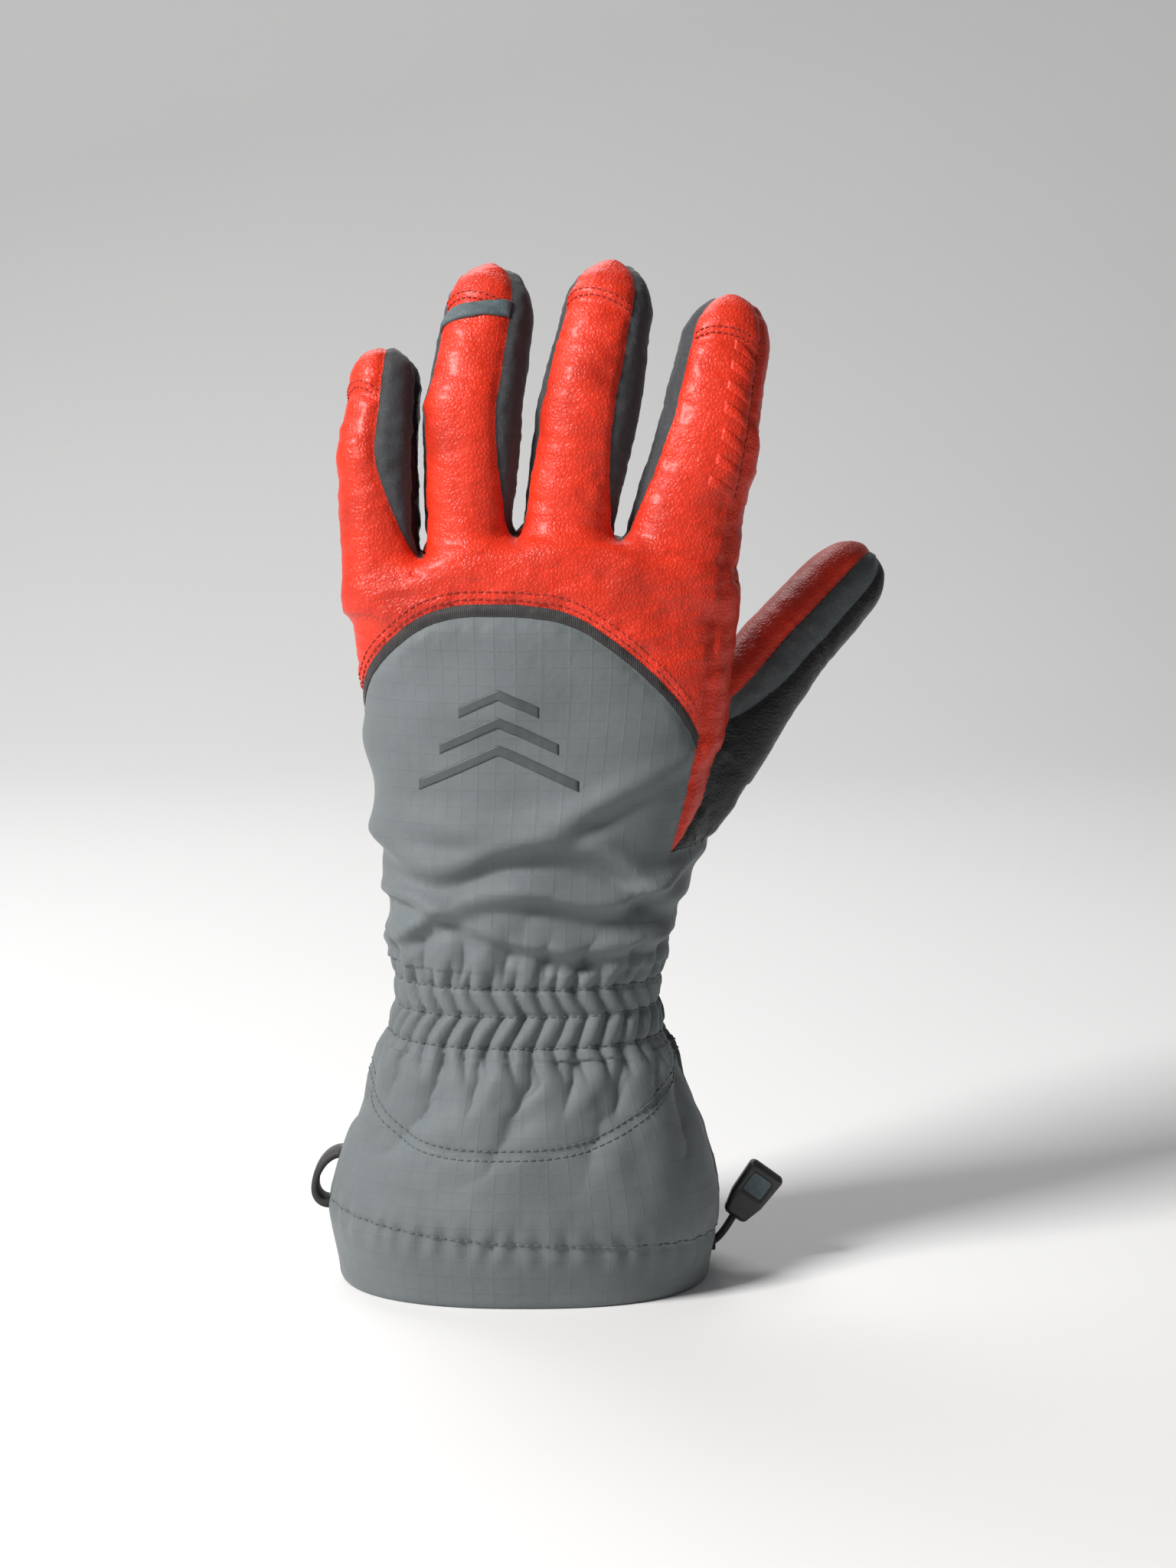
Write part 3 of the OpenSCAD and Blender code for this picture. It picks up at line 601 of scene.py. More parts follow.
def cut_digit_seams(cutter, digit):
    """The cuts along and round one finger or the thumb."""
    def on_digit(points):
        s, far = digit.where(points)[1:]
        close = np.abs(far) < 3
        if digit.thumb:
            close = (far < body_distance(points) + 1.5) & (far < 6)
        return close & (s > digit.hinge - 8)

    def crease_domain(points):
        s, far = digit.where(points)[1:]
        return (s > THUMB_LINE - 2) & (s < 45) & (np.abs(far) < 6)

    def along_cut(line, lo, hi):
        def field(points):
            angle, s, far = digit.where(points)
            return s - line(angle)

        def domain(points):
            s = digit.where(points)[1]
            return on_digit(points) & (s > lo) & (s < hi)
        cutter.cut(field, domain)

    if digit.thumb:
        cutter.cut(lambda points: digit.distance(points) - body_distance(points), crease_domain)
    first, knuckle = (THUMB_LINE, THUMB_KNUCKLE_END) if digit.thumb else (ROOT_LINE, KNUCKLE_END)
    for end in (first, knuckle):
        along_cut(lambda angle, end=end: end, end - 4, end + 4)
    lines = list(digit.seams)
    if digit.name == "index":
        lines.append(INDEX_EDGE)
    for line in dict.fromkeys(lines):
        def domain(points, line=line):
            angle, s, far = digit.where(points)
            here = seam_angle(digit, line, s)
            return (on_digit(points) & (np.abs(turned(angle, line) - here) < 25) & (s > first - 1)
                    & (s < digit.whole - 2.5))
        cutter.cut(digit_seam_field(digit, line), domain)
    if not digit.thumb:
        along_cut(lambda angle: cap_line(digit, angle), digit.whole - 30, digit.whole - 9)


def cut_seams(cutter):
    """All the cuts: seams between panels, and lines where one moving piece hands over to the next."""
    def near_body(points):
        return np.abs(body_distance(points)) < 2.5

    def height_cut(line, a_lo, a_hi, z_lo, z_hi):
        middle = (a_lo + a_hi) / 2

        def angle_of(points):
            return turned(body_where(points)[0], middle)

        def domain(points):
            angle, z = angle_of(points), points[:, 2]
            return (angle > a_lo) & (angle < a_hi) & (z > z_lo) & (z < z_hi) & near_body(points)
        cutter.cut(lambda points: points[:, 2] - line(angle_of(points)), domain)

    def angle_cut(line, z_lo, z_hi):
        def past(points):
            return turned(body_where(points)[0], line) - line

        def domain(points):
            z, far = body_where(points)[1:]
            return (np.abs(past(points)) < 12) & (z > z_lo) & (z < z_hi) & (np.abs(far) < 2.5)
        cutter.cut(lambda points: past(points) * 0.8, domain)

    def web_domain(points):
        return ((points[:, 2] > roots_z(points[:, 0]) - 14) & (body_where(points)[2] < -0.3)
                & near_body(points))

    def root_domain(points):
        return near_body(points) & (points[:, 2] < 178) & (points[:, 2] > WRIST_Z + 40)

    for edge in (-WEB_HALF, WEB_HALF):
        cutter.cut(lambda points, edge=edge: points[:, 1] - edge, web_domain)
    cutter.cut(thumb_root, root_domain)
    tape = bpy.context.scene.glove_pattern.binding / MM
    height_cut(hem_line, -1, 361, 0, 40)
    height_cut(inset_z, -12, 212, 35, 80)
    height_cut(lambda a: CUFF_HI - 3 + 0 * a, -1, 361, 60, 90)
    height_cut(lambda a: HAND_LO + 3 + 0 * a, -1, 361, 90, 115)
    angle_cut(FRONT_HI, 15, HAND_LO + 6)
    angle_cut(FRONT_LO, 15, HAND_LO + 6)
    height_cut(panel_z, BACK_LO - 3, BACK_HI + 3, 150, 230)
    height_cut(lambda a: panel_z(a) - tape, BACK_LO - 3, BACK_HI + 3, 150, 230)
    height_cut(side_z, SIDE_LO - 3, BACK_LO + 3, 125, 180)
    angle_cut(BACK_LO, 130, 236)
    angle_cut(BACK_HI, HAND_LO, 232)
    angle_cut(SIDE_LO, HAND_LO, 236)

    for digit in DIGITS.values():
        cut_digit_seams(cutter, digit)


def piece_labels(centres):
    """The piece that each face of the skin belongs to."""
    labels = np.full(len(centres), "", object)
    part = part_of(centres)
    tape = bpy.context.scene.glove_pattern.binding / MM
    angle, z, far = body_where(centres)
    body = part == "body"
    wide = turned(angle, 90)
    front = (turned(angle, 281) > FRONT_LO) & (turned(angle, 281) < FRONT_HI)
    back = (wide > BACK_LO) & (wide < BACK_HI)
    side = (turned(angle, 0) > SIDE_LO) & (turned(angle, 0) <= BACK_LO)
    edge = panel_z(wide)
    labels[body] = "palm_leather"
    labels[body & back] = "knuckle_leather"
    labels[body & back & (z < edge)] = "back_binding"
    labels[body & back & (z < edge - tape)] = "back_panel"
    labels[body & side] = "side_panel"
    labels[body & side & ((z < side_z(turned(angle, 0))) | (thumb_root(centres) < 0))] = "palm_leather"
    labels[body & side & (z < SIDE_FOOT)] = "back_panel"
    crotch = body & (z > roots_z(centres[:, 0]) - 12) & (far < -0.6)
    labels[crotch] = np.where(centres[crotch, 1] < 0, "knuckle_leather", "palm_leather")
    web = crotch & (np.abs(centres[:, 1]) < WEB_HALF)
    labels[web] = "web_gussets"
    wrist = body & (z < HAND_LO + 3)
    labels[wrist & front] = "wrist_gathers_front"
    labels[wrist & ~front] = "wrist_gathers"
    cuff = body & (z < CUFF_HI - 3)
    labels[cuff & front] = "gauntlet_front"
    labels[cuff & ~front] = "gauntlet_back"
    labels[cuff & ~front & (z > inset_z(wide))] = "gauntlet_inset"
    labels[body & (z < hem_line(angle))] = "hem_band"
    for name, digit in DIGITS.items():
        mine = part == name
        angle, s, far = digit.where(centres[mine])
        lo, hi, palm_lo, palm_hi = digit.seams
        kind = np.full(len(s), "palm", object)
        at = {line: seam_angle(digit, line, s) for line in digit.seams}
        middle = (lo + hi) / 2
        kind[(turned(angle, middle) > at[lo]) & (turned(angle, middle) < at[hi])] = "back"
        between = (hi + palm_lo) / 2
        kind[(turned(angle, between) > at[hi]) & (turned(angle, between) < at[palm_lo])] = "sides"
        between = (palm_hi - 360 + lo) / 2
        if name != "index":
            right = turned(angle, between)
            kind[(right > at[palm_hi] - 360) & (right < at[lo])] = "sides"
        knuckle = THUMB_KNUCKLE_END if digit.thumb else KNUCKLE_END
        tail = np.where(s < knuckle, "_root_", "_finger_")
        if not digit.thumb:
            capped = (s > cap_line(digit, angle)) & (kind == "back")
            if name == "index":
                capped &= (turned(angle, 90) > INDEX_EDGE)
            kind[capped] = "cap"
        named = np.array([name + t + k for t, k in zip(tail, kind)], object)
        if not digit.thumb:
            named[kind == "cap"] = name + "_cap"
            if name == "index":
                red_side = (kind == "back") & (turned(angle, 90) <= INDEX_EDGE)
                named[red_side] = np.where(s[red_side] < knuckle, "index_root_edge", "index_finger_edge")
        labels[mine] = named
    return labels


# ---- the sewn surface: seams, padding, pleats and folds ----

def cloth_group(label):
    """Labels in one group are one panel, even where it is split for motion."""
    if label == "knuckle_leather" or label.endswith(("root_back", "finger_back")):
        return "thumb_back" if label.startswith("thumb") else "back"
    if label in ("side_panel", "index_root_edge", "index_finger_edge"):
        return "edge"
    if label == "palm_leather" or label.endswith("_palm"):
        return "palm"
    if label in ("wrist_gathers", "gauntlet_inset", "back_panel"):
        return "upper"
    if label in ("wrist_gathers_front", "gauntlet_front"):
        return "front"
    if label.endswith("_sides"):
        return label.split("_")[0] + "_sides"
    return label


def seam_strength(first, second):
    """How deep the seam between two panels is, as a share of the full depth; 0 is no seam."""
    a, b = cloth_group(first), cloth_group(second)
    if a == b:
        return 0.0
    pair = {a, b}
    if "web_gussets" in pair:
        return 0.25
    if pair in ({"hem_band", "gauntlet_back"}, {"hem_band", "front"}):
        return 0.55
    if pair == {"upper", "gauntlet_back"}:
        return 0.5
    return 1.0


def lumps(points, size, seed=0):
    """Smooth noise from -1 to 1 whose lumps are about size across."""
    grid = points / size + 31.7 * (seed + 1)
    cell = np.floor(grid).astype(np.int64)
    part = grid - cell
    part = part * part * (3 - 2 * part)
    total = 0.0
    for corner in range(8):
        offset = np.array([corner & 1, corner >> 1 & 1, corner >> 2 & 1])
        key = (cell + offset) % 65536
        mixed = (key[:, 0] * 73856093) ^ (key[:, 1] * 19349663) ^ (key[:, 2] * 83492791) ^ (seed * 2654435)
        mixed = (mixed ^ (mixed >> 13)) * 1274126177 % 4294967296
        value = (mixed ^ (mixed >> 16)) % 65536 / 32767.5 - 1
        weight = np.prod(np.where(offset, part, 1 - part), axis=1)
        total = total + value * weight
    return total


def arc_share(angle, z):
    """Share of the way round the body, by length, so that pleats are even."""
    angles = np.arange(0, 361, 3.0)
    ring = body_point(angles, z)
    run = np.concatenate([[0], np.cumsum(np.linalg.norm(np.diff(ring, axis=0), axis=1))])
    return np.interp(angle % 360, angles, run / run[-1]), run[-1]


ELASTIC_ROWS = (95.4, 87.0, 77.7)


def ridges(turn):
    """Round ridges with sharp valleys, one to each whole turn, from -1 to 1."""
    return 2 * np.abs(np.cos(math.pi * turn)) ** 0.75 - 1


def gathers(points, angle, z, pleat):
    """Pleats over the elastic rows, which run out into broader folds above and below."""
    share_round, girth = arc_share(angle, WRIST_Z)
    count = round(girth / pleat)
    high, mid, low = ELASTIC_ROWS
    wander = 0.13 * lumps(points, 14, 3) + 0.07 * lumps(points, 5, 4)
    zigzag = 0.72 * np.interp(z, [low - 9, low, mid, high, high + 9], [0.45, 0, 1, 0, 0.45])
    zone = smooth_step(z, low - 13, low - 1) * (1 - smooth_step(z, high, high + 11))
    size = 1.35 * (0.85 + 0.35 * lumps(points, 9, 5))
    out = size * ridges(count * share_round + zigzag + wander) * zone
    for row in ELASTIC_ROWS:
        out = out - 0.7 * bump(z - row, 1.1)
    out = out + 0.7 * (bump(z - (high + mid) / 2, 3.4) + bump(z - (mid + low) / 2, 3.6))
    # The pleats join in pairs, then in fours, away from the elastic
    pairs = ridges(round(count / 2) * share_round + wander * 1.3 + 0.2 + 0.012 * z)
    fours = ridges(round(count / 4) * share_round + wander * 1.2 + 0.02 * z)
    out = out + 1.35 * pairs * (bump(z - (low - 10), 8) + bump(z - (high + 8), 7))
    out = out + 1.3 * fours * (bump(z - (low - 24), 12) + 0.5 * bump(z - (high + 20), 9))
    return out + 0.9 * bump(z - (low - 9), 7) + 0.8 * bump(z - (high + 8), 6)


def shell_folds(points, angle, z):
    """Soft sideways folds where the woven back slumps above the wrist."""
    across = -90 * np.cos(np.radians(angle))
    out = np.zeros(len(points))
    for middle, tilt, wave, size, width in ((113, 0.07, 4.0, 3.2, 3.0), (123, -0.10, 4.5, 4.2, 3.6),
                                            (135, 0.09, 6.0, 3.8, 4.2), (150, -0.12, 5.0, 2.6, 4.6)):
        line = middle + tilt * across + wave * np.sin(np.radians(across * 2.3 + middle * 9))
        line = line + 2.5 * lumps(points, 22, int(middle))
        strength = size * (0.75 + 0.6 * lumps(points, 26, int(middle) + 1))
        out = out + strength * (bump(z - line, width) - 0.55 * bump(z - line + 1.6 * width, width * 0.8))
    return out


def leather_creases(points, along, across, size):
    """Fine irregular creases, longer across than along."""
    stretched = np.stack([across / 9.0, along / 2.6, points[:, 1] / 9.0], 1)
    return size * (0.6 * lumps(stretched, 1.0, 11) - 0.8 * np.abs(lumps(stretched, 0.7, 12)))


class Skin:
    """The cut skin, its labels, and where each point ends up once sewn."""

    def __init__(self, bm):
        bm.verts.index_update()
        self.rest = np.array([tuple(v.co) for v in bm.verts])
        self.faces = [tuple(v.index for v in f.verts) for f in bm.faces]
        self.corner_face = np.repeat(np.arange(len(self.faces)), [len(f) for f in self.faces])
        self.corner_vert = np.concatenate([np.array(f) for f in self.faces])
        counts = np.bincount(self.corner_face)
        centres = np.stack([np.bincount(self.corner_face, self.rest[self.corner_vert, k]) / counts
                            for k in range(3)], 1)
        self.triangles = np.array([(f[0], f[k], f[k + 1]) for f in self.faces for k in range(1, len(f) - 1)])
        self.rest_normals = self.normals_of(self.rest)
        self.labels = piece_labels(centres)
        self.edges = {}
        for number, face in enumerate(self.faces):
            for a, b in zip(face, face[1:] + face[:1]):
                self.edges.setdefault((min(a, b), max(a, b)), []).append(number)
        self.find_seams()
        self.tree = BVHTree.FromPolygons([tuple(p) for p in self.rest], [tuple(t) for t in self.triangles])

    def normals_of(self, points):
        a, b, c = (points[self.triangles[:, k]] for k in range(3))
        cross = np.cross(b - a, c - a)
        out = np.zeros_like(points)
        for corner in range(3):
            for k in range(3):
                out[:, k] += np.bincount(self.triangles[:, corner], cross[:, k], len(points))
        return out / np.maximum(np.linalg.norm(out, axis=1, keepdims=True), 1e-12)

    def find_seams(self):
        strength = {}
        for (a, b), beside in self.edges.items():
            if len(beside) == 2 and self.labels[beside[0]] != self.labels[beside[1]]:
                deep = seam_strength(self.labels[beside[0]], self.labels[beside[1]])
                if deep:
                    for vert in (a, b):
                        strength[vert] = max(deep, strength.get(vert, 0))
        tree = KDTree(len(strength))
        numbers = list(strength)
        for k, vert in enumerate(numbers):
            tree.insert(self.rest[vert], k)
        tree.balance()
        found = [tree.find(p) for p in self.rest]
        self.seam_gap = np.array([f[2] for f in found])
        self.seam_deep = np.array([strength[numbers[f[1]]] for f in found])
        self.vert_label = np.full(len(self.rest), "", object)
        self.vert_label[self.corner_vert] = self.labels[self.corner_face]

    def sew(self, pattern):
        """Moves every point along its normal: grooves, padding, pleats, folds and creases."""
        self.part = part_of(self.rest)
        self.sides = np.array([name.endswith("_sides") for name in self.vert_label])
        out = self.seam_shape(pattern)
        self.fold_body(out, pattern)
        for name, digit in DIGITS.items():
            self.fold_digit(out, name, digit)
        self.placed = self.rest + self.rest_normals * out[:, None] + self.settled
        smooth = neighbour_mean(self.placed, np.array(list(self.edges)))
        self.placed = 0.75 * self.placed + 0.25 * smooth
        self.placed[:, 2] = np.maximum(self.placed[:, 2], 0.0)
        self.normals = self.normals_of(self.placed)

    def seam_shape(self, pattern):
        """Padding between the seams, and the valleys along them."""
        gap, deep = self.seam_gap, self.seam_deep
        width = pattern.seam_width / MM
        groups = [cloth_group(name) for name in self.vert_label]
        soft = np.isin(groups, ["back", "edge", "palm", "thumb_back"])
        pad = pattern.padding * np.where(soft, 1.0, 0.35) * np.where(self.sides, 0.5, 1.0)
        out = pad * (1 - np.exp(-(gap / 5) ** 2)) * (body_where(self.rest)[1] > CUFF_HI + 30)
        out = out - pattern.seam_depth / MM * deep * bump(gap, width)
        out = out - 0.35 * deep * bump(gap, 3.2 * width)
        # Leather puckers a little between the stitches of its seams
        return out + 0.36 * deep * bump(gap - 2.6, 2.0) * lumps(self.rest, 2.8, 21)

    def fold_body(self, out, pattern):
        """Adds the folds of the gauntlet, the wrist and the hand."""
        rest, label, gap = self.rest, self.vert_label, self.seam_gap
        angle, z, far = body_where(rest)
        body = self.part == "body"
        wrist = body & (z > 35) & (z < 130)
        out[wrist] += gathers(rest[wrist], angle[wrist], z[wrist], pattern.pleat / MM)
        woven = body & (z > 100) & (z < 175)
        facing = np.clip(np.sin(np.radians(angle[woven])), 0, 1)
        fade = np.clip(gap[woven] / 4, 0, 1) * (0.4 + 0.6 * facing)
        out[woven] += shell_folds(rest[woven], angle[woven], z[woven]) * fade
        panel = label == "back_panel"
        out[panel] += 1.4 * lumps(rest[panel] * [1, 1, 1.6], 21, 35) * np.clip(gap[panel] / 6, 0, 1)
        cuff = body & (z < CUFF_HI)
        fall = 1.9 * lumps(rest[cuff] * [1, 1, 0.45], 24, 31) + 0.7 * lumps(rest[cuff], 9, 32)
        out[cuff] += fall * smooth_step(z[cuff], HEM_TOP - 6, HEM_TOP + 16)
        share_round, girth = arc_share(angle[cuff], 20)
        pucker = np.cos(2 * math.pi * (round(girth / 7.5) * share_round + 0.5 * lumps(rest[cuff], 12, 33)))
        out[cuff] += 0.55 * pucker * bump(z[cuff] - hem_line(angle[cuff]), 5)
        out[cuff] -= 0.5 * np.maximum(0, 1.5 - z[cuff]) ** 2
        red = np.array([cloth_group(name) in ("back", "edge") for name in label]) & body
        out[red] += leather_creases(rest[red], rest[red][:, 2], rest[red][:, 0], 0.7)
        out[red] += 0.55 * lumps(rest[red], 13, 41)
        palm = body & (label == "palm_leather")
        out[palm] += 0.8 * lumps(rest[palm], 15, 42) + leather_creases(
            rest[palm], rest[palm][:, 2], rest[palm][:, 0], 0.4)

    def fold_digit(self, out, name, digit):
        """Adds a digit's creases, deepest where it bends."""
        mine = self.part == name
        points = self.rest[mine]
        angle, s, far = digit.where(points)
        palm_side = np.clip(-np.sin(np.radians(angle)), 0, 1)
        back_side = np.clip(np.sin(np.radians(angle)), 0, 1)
        seed = 50 + 7 * list(DIGITS).index(name)
        fold = 0.55 * lumps(points, 11, seed)
        fold += leather_creases(np.roll(points, 1, 1), s, angle * 0.24, 0.22 if digit.thumb else 0.5)
        for line, size in ((digit.joint, 1.0), (digit.joint + 22, 0.55), (6, 0.5)):
            for step, deepness in ((-2.9, 0.6), (0.4, 1.0), (3.6, 0.7)):
                at = line + step + 1.6 * lumps(points, 16, seed + 3)
                fold -= size * deepness * bump(s - at, 1.05) * (0.75 * palm_side + 0.42 * back_side)
        out[mine] += fold * np.where(self.sides[mine], 0.8, 1.0)

    def on(self, points, lift=0.0):
        """The sewn places of points near the rest skin, and their normals."""
        spots, normals = [], []
        for point in points:
            place, normal, index, gap = self.tree.find_nearest(tuple(point))
            corners = self.triangles[index]
            a, b, c = self.rest[corners]
            base = np.array(place)
            area = np.cross(b - a, c - a)
            size = max(area @ area, 1e-12)
            wa = np.cross(b - base, c - base) @ area / size
            wb = np.cross(c - base, a - base) @ area / size
            weights = np.clip([wa, wb, 1 - wa - wb], 0, 1)
            weights /= weights.sum()
            normal = weights @ self.normals[corners]
            normal /= max(np.linalg.norm(normal), 1e-9)
            spots.append(weights @ self.placed[corners] + normal * lift)
            normals.append(normal)
        return np.array(spots), np.array(normals)


def settle(skin, pattern):
    """How the padded skin moves when it swells and its extra length finds its place."""
    mesh = mesh_of(skin.rest * MM, skin.faces, "settling")
    obj = bpy.data.objects.new("settling", remeshed(mesh, 4 * MM, "settling_coarse"))
    scene = bpy.context.scene
    scene.collection.objects.link(obj)
    start = coords_of(obj.data)
    points = start / MM
    angle, z, far = body_where(points)
    hold = obj.vertex_groups.new(name="held")
    pinned = (z < 6) | ((z > 74) & (z < 98))
    seam_tree = KDTree(len(skin.rest))
    for k in np.flatnonzero(skin.seam_gap < 0.4):
        seam_tree.insert(skin.rest[k], int(k))
    seam_tree.balance()
    for k, point in enumerate(points):
        weight = 1.0 if pinned[k] else 0.55 if seam_tree.find(point)[2] < 3 else 0.0
        if weight:
            hold.add([k], weight, "REPLACE")
    cloth = obj.modifiers.new("Cloth", "CLOTH")
    settings = cloth.settings
    settings.quality = 6
    settings.mass = 0.25
    settings.tension_stiffness = settings.compression_stiffness = 12
    settings.shear_stiffness = 6
    settings.bending_stiffness = 0.4
    settings.vertex_group_mass = "held"
    settings.pin_stiffness = 8
    settings.shrink_min = -pattern.fullness
    settings.use_pressure = True
    settings.uniform_pressure_force = 2.5
    settings.effector_weights.gravity = 0
    cloth.point_cache.frame_start, cloth.point_cache.frame_end = 1, 20
    for number in range(1, 21):
        scene.frame_set(number)
    found = obj.evaluated_get(bpy.context.evaluated_depsgraph_get()).to_mesh()
    moved = (coords_of(found) - start) / MM
    scene.frame_set(1)
    bpy.data.objects.remove(obj)
    moved = np.nan_to_num(moved)
    size = np.linalg.norm(moved, axis=1, keepdims=True)
    slack = pattern.slack / MM
    moved *= slack * np.tanh(size / slack) / np.maximum(size, 1e-9)
    tree = KDTree(len(points))
    for k, point in enumerate(points):
        tree.insert(point, k)
    tree.balance()
    out = np.zeros_like(skin.rest)
    for k, point in enumerate(skin.rest):
        near = tree.find_n(point, 6)
        weights = np.array([math.exp(-(n[2] / 3.2) ** 2) + 1e-6 for n in near])
        out[k] = weights @ moved[[n[1] for n in near]] / weights.sum()
    sides = np.array([name.endswith("_sides") for name in skin.vert_label])
    calm = np.clip(skin.seam_gap / 4, 0.15, 1) * np.where(sides, 0.25, 1.0)
    return out * calm[:, None]


# ---- finishes ----

class Finish:
    """A node material, built up in a few plain steps."""

    def __init__(self, name, base, roughness, **sockets):
        self.material = bpy.data.materials.new(name)
        self.material.use_nodes = True
        self.nodes = self.material.node_tree.nodes
        self.links = self.material.node_tree.links
        self.shader = self.nodes["Principled BSDF"]
        self.shader.inputs["Base Color"].default_value = (*base, 1)
        self.shader.inputs["Roughness"].default_value = roughness
        for socket, value in sockets.items():
            self.shader.inputs[socket.replace("_", " ")].default_value = value
        self.place = self.nodes.new("ShaderNodeTexCoord").outputs["Object"]
        self.relief = None

    def add(self, kind, **values):
        node = self.nodes.new(kind)
        for key, value in values.items():
            if key in node.inputs:
                socket = node.inputs[key]
                if hasattr(value, "is_output"):
                    self.links.new(value, socket)
                else:
                    socket.default_value = value
            else:
                setattr(node, key, value)
        return node

    def stretched(self, stretch):
        if not stretch:
            return self.place
        return self.add("ShaderNodeMapping", Vector=self.place, Scale=stretch).outputs[0]

    def noise(self, scale, detail=3.0, stretch=None):
        return self.add("ShaderNodeTexNoise", Vector=self.stretched(stretch), Scale=scale,
                        Detail=detail).outputs[0]

    def cells(self, scale, stretch=None):
        return self.add("ShaderNodeTexVoronoi", feature="DISTANCE_TO_EDGE",
                        Vector=self.stretched(stretch), Scale=scale).outputs[0]

    def spread(self, value, lo, hi, to_lo=0.0, to_hi=1.0):
        node = self.add("ShaderNodeMapRange", Value=value)
        for key, number in zip(("From Min", "From Max", "To Min", "To Max"), (lo, hi, to_lo, to_hi)):
            node.inputs[key].default_value = number
        return node.outputs[0]

    def maths(self, operation, a, b=0.0, clamp=False):
        node = self.nodes.new("ShaderNodeMath")
        node.operation = operation
        node.use_clamp = clamp
        for socket, value in zip(node.inputs, (a, b)):
            if hasattr(value, "is_output"):
                self.links.new(value, socket)
            else:
                socket.default_value = value
        return node.outputs[0]

    def tint(self, factor, other, amount=1.0):
        """Mixes the base colour towards other where factor is high."""
        shader_in = self.shader.inputs["Base Color"]
        node = self.nodes.new("ShaderNodeMix")
        node.data_type = "RGBA"
        if shader_in.links:
            self.links.new(shader_in.links[0].from_socket, node.inputs[6])
        else:
            node.inputs[6].default_value = shader_in.default_value
        node.inputs[7].default_value = (*other, 1)
        self.links.new(self.maths("MULTIPLY", factor, amount, clamp=True), node.inputs[0])
        self.links.new(node.outputs[2], shader_in)
        return self

    def rough(self, factor, lo, hi):
        self.links.new(self.spread(factor, 0.2, 0.8, lo, hi), self.shader.inputs["Roughness"])
        return self

    def raise_by(self, height, depth, strength=1.0):
        """Adds height as a bump, depth in metres."""
        node = self.add("ShaderNodeBump", Height=height, Distance=depth, Strength=strength)
        if self.relief is not None:
            self.links.new(self.relief, node.inputs["Normal"])
        self.relief = node.outputs[0]
        self.links.new(self.relief, self.shader.inputs["Normal"])
        return self


def scaled(base, by):
    """A colour made lighter or darker."""
    return tuple(min(1.0, c * by) for c in base)


def leather(name, base, roughness, grain=1.0, worn=0.35):
    f = Finish(name, base, roughness, Specular_IOR_Level=0.3, Coat_Weight=0.12, Coat_Roughness=0.22)
    broad, fine = f.noise(45, 4), f.noise(420, 3)
    f.tint(f.spread(broad, 0.42, 0.68), scaled(base, 0.55), 0.8)
    f.tint(f.spread(fine, 0.55, 0.8), scaled(base, 1.25), worn * 0.6)
    edge = f.cells(760)
    f.tint(f.spread(edge, 0.1, 0.0), scaled(base, 0.5), 0.55)
    f.raise_by(f.spread(edge, 0.0, 0.3), 0.00022 * grain, 0.55)
    f.raise_by(f.noise(230, 5, stretch=(1.0, 1.0, 2.6)), 0.0006 * grain, 0.5)
    f.raise_by(f.noise(2600, 2), 0.00008, 0.5)
    return f.rough(f.noise(300, 4), roughness - 0.09, roughness + 0.12).material


def woven(name, base, roughness, grid=0.0052, yarn=0.00062):
    """Plain weave with a thicker thread every few millimetres, from the cloth's own directions."""
    f = Finish(name, base, roughness, Specular_IOR_Level=0.35, Sheen_Weight=0.12, Sheen_Roughness=0.5)
    cloth = f.add("ShaderNodeAttribute", attribute_name="cloth").outputs["Vector"]
    parts = f.add("ShaderNodeSeparateXYZ", Vector=cloth)
    yarns, ribs = [], []
    for axis in (0, 1):
        along = parts.outputs[axis]
        yarns.append(f.maths("SINE", f.maths("MULTIPLY", along, 2 * math.pi / yarn)))
        part = f.maths("ABSOLUTE", f.maths("SUBTRACT", f.maths("FRACT", f.maths("DIVIDE", along, grid)), 0.5))
        ribs.append(f.spread(part, 0.415, 0.485))
    weave = f.maths("MULTIPLY", yarns[0], yarns[1])
    rip = f.maths("MAXIMUM", ribs[0], ribs[1])
    broad = f.noise(40, 4)
    f.tint(f.spread(broad, 0.4, 0.7), scaled(base, 0.72), 0.6)
    f.tint(rip, scaled(base, 0.62), 0.16)
    f.tint(f.spread(weave, -1, 1), scaled(base, 1.25), 0.25)
    f.raise_by(rip, 0.00009, 0.5)
    f.raise_by(f.spread(weave, -1, 1), 0.00009, 0.6)
    f.raise_by(f.noise(260, 5), 0.0005, 0.45)
    return f.rough(f.noise(160, 3), roughness - 0.07, roughness + 0.08).material


def knitted(name, base, roughness):
    f = Finish(name, base, roughness, Specular_IOR_Level=0.3, Sheen_Weight=0.2, Sheen_Roughness=0.4)
    f.tint(f.spread(f.noise(900, 3), 0.45, 0.7), scaled(base, 1.5), 0.6)
    f.tint(f.spread(f.noise(70, 3), 0.45, 0.7), scaled(base, 0.7), 0.6)
    f.raise_by(f.cells(1500, stretch=(1, 1, 0.55)), 0.00022, 0.6)
    f.raise_by(f.noise(320, 4), 0.0005, 0.4)
    return f.rough(f.noise(500, 3), roughness - 0.06, roughness + 0.08).material


def fleecy(name, base):
    f = Finish(name, base, 0.95, Specular_IOR_Level=0.15, Sheen_Weight=0.5, Sheen_Roughness=0.6)
    f.tint(f.spread(f.noise(700, 5), 0.4, 0.65), scaled(base, 1.8), 0.8)
    f.raise_by(f.noise(650, 6), 0.0012, 0.9)
    f.raise_by(f.noise(150, 3), 0.0015, 0.5)
    return f.rough(f.noise(400, 2), 0.88, 1.0).material


